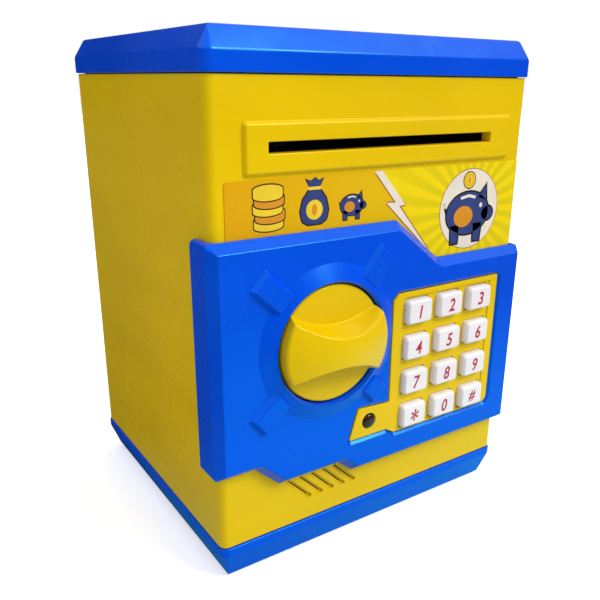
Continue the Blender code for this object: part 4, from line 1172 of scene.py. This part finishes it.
def knob():
    angles, rings = 288, 96
    build = Builder("Y")
    loops = []
    cosine, sine = math.cos(RIDGE_TILT), math.sin(RIDGE_TILT)
    for i in range(1, rings + 1):
        radius = KNOB_RADIUS * math.sin(math.pi / 2 * i / rings)
        first = len(build.points)
        for x, z in circle(radius, angles):
            rise = knob_height(x * cosine + z * sine, z * cosine - x * sine, radius)
            build.points.append((KNOB_X + x, FRONT - rise, KNOB_Z + z))
        loops.append(list(range(first, len(build.points))))
    back, shaft_end = KNOB_RECESS_FLOOR - 0.3, high_of("knob", Y)
    for radius, level in ((KNOB_RADIUS, back), (KNOB_SHAFT, back), (KNOB_SHAFT, shaft_end)):
        loops.append(build.ring(circle(radius, angles, (KNOB_X, KNOB_Z)), level))
    build.close(build.chain(loops))
    place(build.object("turning_knob"), "knob", "yellow", "knob", sharp_degrees=50.0)


# ---------------------------------------------------------------- inside the door
COVER_SCREWS = [(x, z) for x in (-53.0, 51.0) for z in (51.5, 98.5)]


def door_back_cover():
    name = "door_back_cover"
    left, right, low, high, front, back = span(name, X, Z, Y)
    wall, middle = 1.4, 10.0
    path = round_path([(middle, back), (0, back), (0, front), (wall, front), (wall, back - wall),
                       (middle, back - wall)],
                      [2.2, 0.3, 0.3, 1.0])
    pan = plate("back_cover", rectangle(left, right, low, high, 3.0), path)
    bolt_low, bolt_high = low_of("latch_bolt", Z) + 2.0, high_of("latch_bolt", Z) - 1.5
    for rail in (bolt_low - 1.9, bolt_high + 0.4):
        weld(pan, slab(-52.0, -42.0, -56.4, back - 0.5, rail, rail + 1.5))
    carve(pan, slab(left - 1, left + wall + 1, -59.7, -53.0, bolt_low - 0.5, bolt_high + 0.5))
    for x in (-30.0, -10.0, 10.0, 30.0):
        groove = rectangle(x - 0.8, x + 0.8, low + 8.0, high - 8.0, 0.7)
        carve(pan, plate("groove", groove, [(0.4, back - 0.6), (-0.2, back + 0.4)], steps=3))
    for centre in COVER_SCREWS:
        carve(pan, turned("screw_dish", centre, [(1.9, back - 0.7), (2.6, back + 0.4)], "Y", 32))
    place(pan, "door", "blue", name, bevel=0.2)
    head_path = [(0.5, back - 0.05), (1.2, back - 0.1), (1.8, back - 0.6), (1.8, back - 0.68)]
    for n, centre in enumerate(COVER_SCREWS, start=1):
        head = turned(f"cover_screw_{n}", centre, head_path, "Y", 28)
        for wide, deep in ((1.1, 0.25), (0.25, 1.1)):
            carve(head, plate("cross", around(*centre, wide, deep), straight(back - 0.45, back + 1), steps=1))
        place(head, "door", "steel")


def keypad_board():
    name = "keypad_board"
    low, front = low_of(name, Z), low_of(name, Y)
    thick, left, right, top, step_x, step_z = 1.4, -12.5, 54.0, 101.0, 5.0, 57.0
    outline = [(left, low, 0.8), (right, low, 0.8), (right, top, 0.8), (step_x, top, 0.8),
               (step_x, step_z, 0.4),
               (left, step_z, 0.8)]
    sheet = plate("keypad_board_sheet", outline, rim_path(front, front + thick, 2, 0.12))
    place(sheet, "door", "board", name)
    pad_path = straight(front - 0.06, front + 0.02, 2.4)
    pads = [turned("pad", spot(key_name, X, Z), pad_path, "Y", 24) for key_name in KEY_LEGENDS]
    place(join("key_contact_pads", pads), "door", "chip", slot="circuit_board")
    chip("keypad_chip", "door", (24.0, 36.0, 68.0, 76.0), front + thick + 0.2, 1.6)
    socket("keypad_socket", "door", (42.0, 52.0, 50.0, 56.0), front + thick, 4.0)


def chip(name, body, sides, face, thick):
    """A packaged chip standing off a board that faces +Y, with its legs down both long sides."""
    left, right, low, high = sides
    pitch, half, top = 1.4, face + thick / 2, face + thick
    path = round_path([(0.5, face), (0.15, face), (0, half), (0.15, top), (0.5, top)], 0.1)
    made = plate(name, rectangle(*sides, 0.3), path, steps=3)
    carve(made, turned("dot", (left + 1.4, low + 1.4), straight(top - 0.15, top + 1, 0.5), "Y", 16))
    place(made, body, "chip")
    legs = []
    for k in range(int((right - left - 1.0) / pitch)):
        x = left + 0.9 + pitch * k
        for side, z in ((-1, low), (1, high)):
            bend = ((half, -0.3), (half, 0.5), (face - 0.1, 0.8), (face - 0.1, 1.3))
            legs.append(wire("leg", [(x, y, z + side * out) for y, out in bend], 0.2, 6))
    place(join(name + "_legs", legs), body, "steel")


def socket(name, body, sides, face, tall):
    """A white wire socket on a board that faces +Y, with square pins inside."""
    left, right, low, high = sides
    wall, middle, floor, top = 0.7, 2.0, face + 1.2, face + tall
    path = round_path([(middle, face), (0, face), (0, top), (wall, top), (wall, floor), (middle, floor)], 0.12)
    place(plate(name, rectangle(*sides, 0.4), path, steps=3), body, "nylon", slot="key_plastic")
    pins = []
    count = max(2, int((right - left) / 2.5))
    pin_path = [(0, face + 0.6), (0, top - 0.5), (0.15, top - 0.2)]
    for k in range(count):
        x = left + (right - left) * (k + 0.5) / count
        pins.append(plate("pin", around(x, (low + high) / 2, 0.3, 0.3, 0.05), pin_path, steps=1))
    place(join(name + "_pins", pins), body, "steel")


# ---------------------------------------------------------------- note feed
def gear_outline(teeth, centre, tooth_angle, shrink=0.0):
    """A module 1 gear outline with curved flanks."""
    root, tip = teeth / 2 - 1.25 - shrink, teeth / 2 + 0.85 - shrink
    steps = 4
    flank = [(root + (tip - root) * k / steps, 0.25 - 0.16 * (k / steps) ** 1.35) for k in range(steps + 1)]
    points = []
    for tooth in range(teeth):
        for radius, share in [(r, -s) for r, s in flank] + flank[::-1]:
            angle = tooth_angle + 2 * math.pi * tooth / teeth + share * 2 * math.pi / teeth
            points.append((centre[0] + radius * math.cos(angle), centre[1] + radius * math.sin(angle)))
    return points


def gear_wheel(name, teeth, centre, tooth_angle, ends, bore):
    (low, high), chamfer = ends, 0.25
    levels = ((chamfer, low), (0.0, low + chamfer), (0.0, high - chamfer), (chamfer, high))
    sections = [(gear_outline(teeth, centre, tooth_angle, shrink), level) for shrink, level in levels]
    return loft(name, sections, "X", (centre, bore))


ROLLER_GEAR, SMALL_GEAR, LARGE_GEAR = (-63.4, -60.0), (-63.4, -59.6), (-59.6, -56.6)
TRANSFER_ANGLE, PINION_ANGLE = math.radians(-60), math.radians(-10)
SHAFT_RADIUS = 1.4


def meshing(angle, teeth):
    """The tooth angle that sets a gap of the second gear against the first one's tooth."""
    return angle + math.pi + math.pi / teeth


def gears():
    drive, transfer, motor = [spot(node, Y, Z) for node in ("drive_shaft", "transfer_gear", "feed_motor")]
    wheel = gear_wheel("roller_wheel", 20, drive, TRANSFER_ANGLE, ROLLER_GEAR, 1.5)
    inner, outer, start, end = 3.2, 7.4, ROLLER_GEAR[0] - 1, ROLLER_GEAR[0] + 0.9
    carve(wheel, sleeve("dish", drive, [(inner, start), (outer, start), (outer, end), (inner, end)], "X"))
    place(wheel, "drive_train", "nylon", "roller_gear")
    small = gear_wheel("transfer_small", 10, transfer, meshing(TRANSFER_ANGLE, 10), SMALL_GEAR, 1.65)
    large = gear_wheel("transfer_wheel", 24, transfer, PINION_ANGLE, LARGE_GEAR, 1.65)
    place(small, "transfer_gear", "nylon")
    place(large, "transfer_gear", "nylon", "transfer_gear")
    pinion = gear_wheel("pinion_wheel", 10, motor, meshing(PINION_ANGLE, 10), LARGE_GEAR, 1.0)
    place(pinion, "motor_pinion", "nylon", "motor_pinion")
    start, end, radius = -58.0, -42.0, 0.98
    path = [(0.7, start), (radius, start + 0.3), (radius, end - 0.3), (0.7, end)]
    place(turned("pinion_spindle", motor, path, "X", 20), "motor_pinion", "shaft")


def shafts_and_rollers():
    for kind in ("drive", "pinch"):
        node = kind + "_shaft"
        left, right = span(node, X)
        groove = [(SHAFT_RADIUS, left + 1.2), (1.1, left + 1.3), (1.1, left + 1.8), (SHAFT_RADIUS, left + 1.9)]
        path = [(1.0, left), (SHAFT_RADIUS, left + 0.4), *groove, (SHAFT_RADIUS, right - 0.4), (1.0, right)]
        place(turned(node + "_rod", spot(node, Y, Z), path, "X", 28), kind + "_train", "shaft", node)
    for kind in ("drive", "pinch"):
        for node in (f"{kind}_roller_left", f"{kind}_roller_right"):
            left, right, low, high = span(node, X, Z)
            radius, bore = (high - low) / 2, 1.5
            valley, shoulder = radius - 0.35, radius - 0.4
            ribs = []
            level = left + 0.6
            while level < right - 1.2:
                ribs += [(radius, level), (radius, level + 0.7), (valley, level + 0.85), (valley, level + 1.1)]
                level += 1.25
            path = [(bore, left), (shoulder, left), *ribs, (shoulder, right), (bore, right)]
            place(sleeve(node + "_tyre", spot(node, Y, Z), path, "X"), kind + "_train", "rubber", node)


def feed_motor():
    y, z = spot("feed_motor", Y, Z)
    left, right = span("feed_motor", X)
    can, groove, boss, can_end = 9.5, 9.25, 4.5, right - 2.0
    path = [
        (1.15, -40.0), (1.15, left), (3.0, left), (3.2, left + 0.3), (8.9, left + 0.3), (can, left + 0.9),
        (can, can_end - 6.2), (groove, can_end - 6.0), (groove, can_end - 5.6), (can, can_end - 5.4),
        (can, can_end - 0.8), (8.8, can_end), (4.7, can_end), (boss, can_end + 0.2), (boss, right - 0.4),
        (4.1, right),
    ]
    place(turned("motor_body", (y, z), path, "X"), "bank", "motor_can", "feed_motor")
    tabs = [soft_block("tab", can_end - 0.3, right + 0.6, y + out - 0.3, y + out + 0.3, z - 1.3, z + 1.3, 0.1,
                       0.08)
            for out in (-6.2, 6.2)]
    place(join("motor_tabs", tabs), "bank", "copper")


def note_sensor():
    left, right, front, back, low, high = span("note_sensor", X, Y, Z)
    board_low = high - 1.4
    sheet = soft_block("sensor_board", left, right, front, back, board_low, high, 0.5)
    place(sheet, "bank", "board", "note_sensor")
    eye = soft_block("sensor_eye", -3.0, 3.0, front + 1.6, front + 5.6, low, board_low, 0.5, 0.3)
    for x in (-1.4, 1.4):
        carve(eye, turned("eye_hole", (x, front + 3.6), straight(low - 1, low + 0.6, 0.9), "Z", 24))
    place(eye, "bank", "chip")


# ---------------------------------------------------------------- electronics and batteries
def main_board():
    left, right, low, high = span("main_board", X, Z)
    front = low_of("main_board", Y)
    face = front + 1.6
    holes = [(around(x, high - 3, 1.2, 1.2, 1.19), straight(front, face)) for x in (left + 3, right - 3)]
    sheet = plate("main_board_sheet", rectangle(left, right, low, high, 1.0), rim_path(front, face, 0.6, 0.12),
                  holes=holes)
    place(sheet, "bank", "board", "main_board")
    chip("main_chip", "bank", (14.0, 26.0, 23.0, 33.0), face + 0.2, 1.8)
    socket("speaker_socket", "bank", (41.0, 50.0, 20.0, 26.0), face, 6.4)
    socket("motor_socket", "bank", (-9.0, 1.0, 21.0, 26.0), face, 4.4)
    can, groove, top = 3.2, 2.95, face + 8.4
    path = round_path([(2.4, face), (can, face), (can, face + 1.0), (groove, face + 1.4), (can, face + 1.8),
                       (can, top),
                       (2.6, top), (2.4, top - 0.2)], 0.2)
    place(turned("capacitor", (34.0, 29.0), path, "Y", 40), "bank", "navy", slot="circuit_board")
    rows = {34.0: (5.0, 8.0, 43.0, 46.0), 30.5: (5.0, 8.0), 21.0: (30.0, 34.0)}
    resistors = [soft_block("resistor", x - 1.0, x + 1.0, face, face + 0.6, z - 0.6,
                            z + 0.6) for z in rows for x in rows[z]]
    place(join("board_resistors", resistors), "bank", "chip")


def speaker():
    centre = spot("speaker", X, Z)
    front, back = span("speaker", Y)
    basket = [(radius, front + depth) for radius, depth in (
        (2.4, 1.6), (3.4, 1.0), (8.6, 0.5), (9.2, 0.0), (10.6, 0.0), (10.8, 0.3), (10.8, 1.9), (10.4, 2.1),
        (7.4, 3.9), (6.0, 4.0))]
    place(turned("speaker_basket", centre, basket), "bank", "black", "speaker")
    radius, start = 6.5, front + 4.05
    path = round_path([(2.0, start), (radius, start), (radius, back), (1.5, back), (1.2, back - 0.4)], 0.3)
    place(turned("speaker_magnet", centre, path), "bank", "steel", slot="speaker_metal")


CELL_RADIUS, NUB_RADIUS = 7.0, 2.6


def batteries():
    for n, nub_side in CELLS.items():
        node = f"battery_cell_{n}"
        half = high_of(node, X)
        run = [
            (2.0, -half + 0.1), (5.4, -half + 0.1), (5.6, -half), (6.6, -half), (CELL_RADIUS, -half + 0.5),
            (CELL_RADIUS, half - 1.9), (6.5, half - 1.3), (3.1, half - 1.25), (NUB_RADIUS, half - 1.1),
            (NUB_RADIUS, half - 0.2), (2.3, half),
        ]
        path = [(radius, nub_side * level) for radius, level in run]
        place(turned(f"cell_{n}", spot(node, Y, Z), path, "X"), "bank", f"cell_{n}", node)


CONTACT_AT, CONTACT_THICK = 28.0, 0.6
SPRING_BASE, SPRING_LENGTH, SPRING_TURNS, SPRING_STEPS = 27.5, 1.7, 3.5, 90


def spring(sign, y, z):
    """A cone-shaped coil from the contact towards the cell."""
    points = []
    for k in range(SPRING_STEPS + 1):
        share = k / SPRING_STEPS
        radius, angle = 4.0 - 2.2 * share, 2 * math.pi * SPRING_TURNS * share
        along = sign * (SPRING_BASE - SPRING_LENGTH * share)
        points.append((along, y + radius * math.cos(angle), z + radius * math.sin(angle)))
    return wire("spring", points, 0.25, 8)


def battery_contacts():
    for side, sign in (("left", -1), ("right", 1)):
        node = f"battery_contact_{side}"
        faces = sorted((sign * (CONTACT_AT - CONTACT_THICK / 2), sign * (CONTACT_AT + CONTACT_THICK / 2)))
        strip = plate(f"contact_strip_{side}", rectangle(*span(node, Y, Z), 1.2), straight(*faces), "X")
        place(strip, "bank", "steel", node)
        springs = [spring(sign, *spot(f"battery_cell_{n}", Y, Z)) for n in CELLS]
        place(join(f"contact_springs_{side}", springs), "bank", "steel")


def battery_cover():
    name = "battery_cover"
    left, right, front, back = span(name, X, Y)
    low = low_of(name, Z)
    top = low + 1.8
    centre = spot("battery_cover_screw", X, Y)
    hole = (around(*centre, 1.2, 1.2, 1.19), [(-0.7, low), (-0.7, low + 1.0), (0, low + 1.0), (0, top)])
    made = plate("bay_cover", rectangle(left, right, front, back, 1.2), rim_path(low, top, 0.8, 0.3), "Z",
                 [hole], 5)
    for k in range(5):
        y = (front + back) / 2 + 4.6 + 3.2 * k
        carve(made, plate("grip", around(0, y, 10.0, 0.6, 0.55), [(-0.2, low - 0.5), (0.3, low + 0.7)], "Z",
                          steps=4))
    place(made, name, "blue", name)
    screw("bay_screw", name, centre, low + 0.15, 1.7, 7.6, "battery_cover_screw", radius=1.0)


# ---------------------------------------------------------------- studio
FLOOR_REACH = 4000.0
# Centre of the painted reflection pool on the floor, which only reflections see.
REFLECTION_POOL_X, REFLECTION_POOL_Y = 60.0, -150.0


def studio():
    floor = Builder("Z")
    reach = FLOOR_REACH
    floor.faces.append(tuple(floor.ring([(-reach, -reach), (reach, -reach), (reach, reach), (-reach, reach)],
                                        0.0)))
    ground = floor.object("studio_floor")
    ground.data.materials.append(floor_paper())
    studio_world()
    soft_light("key_light", (0.42, -0.62, 0.66), 2.1, 24.0)
    bpy.context.scene.view_settings.view_transform = "Standard"


def floor_paper():
    """White paper: seen straight it stays near white, and it throws only part of its light on the object; in
    reflections it shows a painted reflection, a bright cyan pool in front of the bank that fades to near black.
    """
    look = new_look("floor_paper")
    direct, glossy = look.node("LightPath", "Is Camera Ray"), look.node("LightPath", "Is Glossy Ray")
    seen = look.mix(look.noise(400.0), (0.88, 0.88, 0.88), (0.92, 0.92, 0.92))
    x, y = look.math("SUBTRACT", look.axis(X), REFLECTION_POOL_X), look.math("SUBTRACT", look.axis(Y), REFLECTION_POOL_Y)
    # Painted reflection: for glossy rays the floor is a bright cyan pool in front of the bank that fades to
    # near black further off, so the bank's lower faces reflect it.
    painted_reflection_pool = look.mix(look.spread(look.distance(x, y), 60.0, 260.0), (0.10, 0.9, 0.9), (0.01, 0.03, 0.03))
    bounce_and_painted_reflection = look.mix(glossy, (0.60, 0.60, 0.60), painted_reflection_pool)
    look.set(base_color=look.mix(direct, bounce_and_painted_reflection, seen), roughness=0.9, specular_ior_level=0.1)
    glow = look.node("Emission", 0,
                     {"Color": (1.0, 1.0, 1.0), "Strength": look.math("MULTIPLY", direct, 0.45)})
    look.links.new(look.node("AddShader", 0, {0: look.surface.outputs[0], 1: glow}), look.seen)
    return look.owner


def studio_world():
    """A light tent: brightest overhead, mirrored as a softbox, and white where the camera sees it."""
    world = Look(bpy.data.worlds.new("studio"), "Generated", "Background", "OutputWorld")
    bpy.context.scene.world = world.owner
    side, _, up = [world.node("SeparateXYZ", name, {"Vector": world.place}) for name in "XYZ"]
    direct, glossy = world.node("LightPath", "Is Camera Ray"), world.node("LightPath", "Is Glossy Ray")
    soft = {"interpolation_type": "SMOOTHSTEP"}
    overhead = world.spread(up, 0.0, 0.9, 0.42, 1.0, **soft)
    sideways = world.spread(side, -0.8, 0.4, 1.05, 1.0, **soft)
    softbox = world.spread(up, 0.35, 0.75, 0.01, 1.1, **soft)
    reflected = world.node("Mix", "Result", {"Factor": glossy, "A": 1.0, "B": softbox})
    tent = world.math("MULTIPLY", world.math("MULTIPLY", overhead, sideways), reflected)
    strength = world.node("Mix", "Result", {"Factor": direct, "A": tent, "B": 1.0})
    world.set(color=(1.0, 1.0, 1.0), strength=strength)


def soft_light(name, toward, strength, softness):
    """A broad distant light shining from the given direction."""
    light = bpy.data.lights.new(name, "SUN")
    light.energy = strength
    light.angle = math.radians(softness)
    in_scene(name, light).rotation_euler = (-Vector(toward)).to_track_quat("-Z", "Y").to_euler()


def camera():
    """The viewpoint: low in front of the left corner, with a slight roll and an off-centre frame."""
    centre = in_row((-156.9, -247.7, 174.6))
    yaw, pitch, roll = math.radians(34.26), math.radians(18.80), math.radians(-0.59)
    ahead = Vector((math.sin(yaw), math.cos(yaw), 0.0))
    forward = math.cos(pitch) * ahead - Vector((0, 0, math.sin(pitch)))
    level_right = Vector((math.cos(yaw), -math.sin(yaw), 0.0))
    level_up = math.sin(pitch) * ahead + Vector((0, 0, math.cos(pitch)))
    right = math.cos(roll) * level_right - math.sin(roll) * level_up
    up = math.sin(roll) * level_right + math.cos(roll) * level_up
    lens = bpy.data.cameras.new("camera")
    lens.sensor_width = 36.0
    lens.lens = 40.9
    lens.shift_x, lens.shift_y = -0.024, 0.022
    lens.clip_start = 0.01
    made = in_scene("camera", lens)
    made.matrix_world = Matrix([(right[k], up[k], -forward[k], centre[k]) for k in (X, Y, Z)] + [(0, 0, 0, 1)])
    bpy.context.scene.camera = made


def write_size():
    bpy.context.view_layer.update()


for make in (case, lid, base, base_screws, feet, hinge_pins, note_slot_frame, sticker, sticker_art, door,
             keypad_panel):
    make()
for key_name, legend in KEY_LEGENDS.items():
    key(key_name, legend)
for make in (status_lamp, knob, door_back_cover, keypad_board):
    make()
kept("knob_crank", "nylon")
kept("latch_bolt", "nylon")
kept("lock_solenoid", "motor_can", "steel")
kept("solenoid_plunger", "steel")
kept("feed_frame", "black", bevel=0.4)
for make in (gears, shafts_and_rollers, feed_motor, note_sensor, main_board, speaker, batteries,
             battery_contacts,
             battery_cover, studio, camera, write_size):
    make()
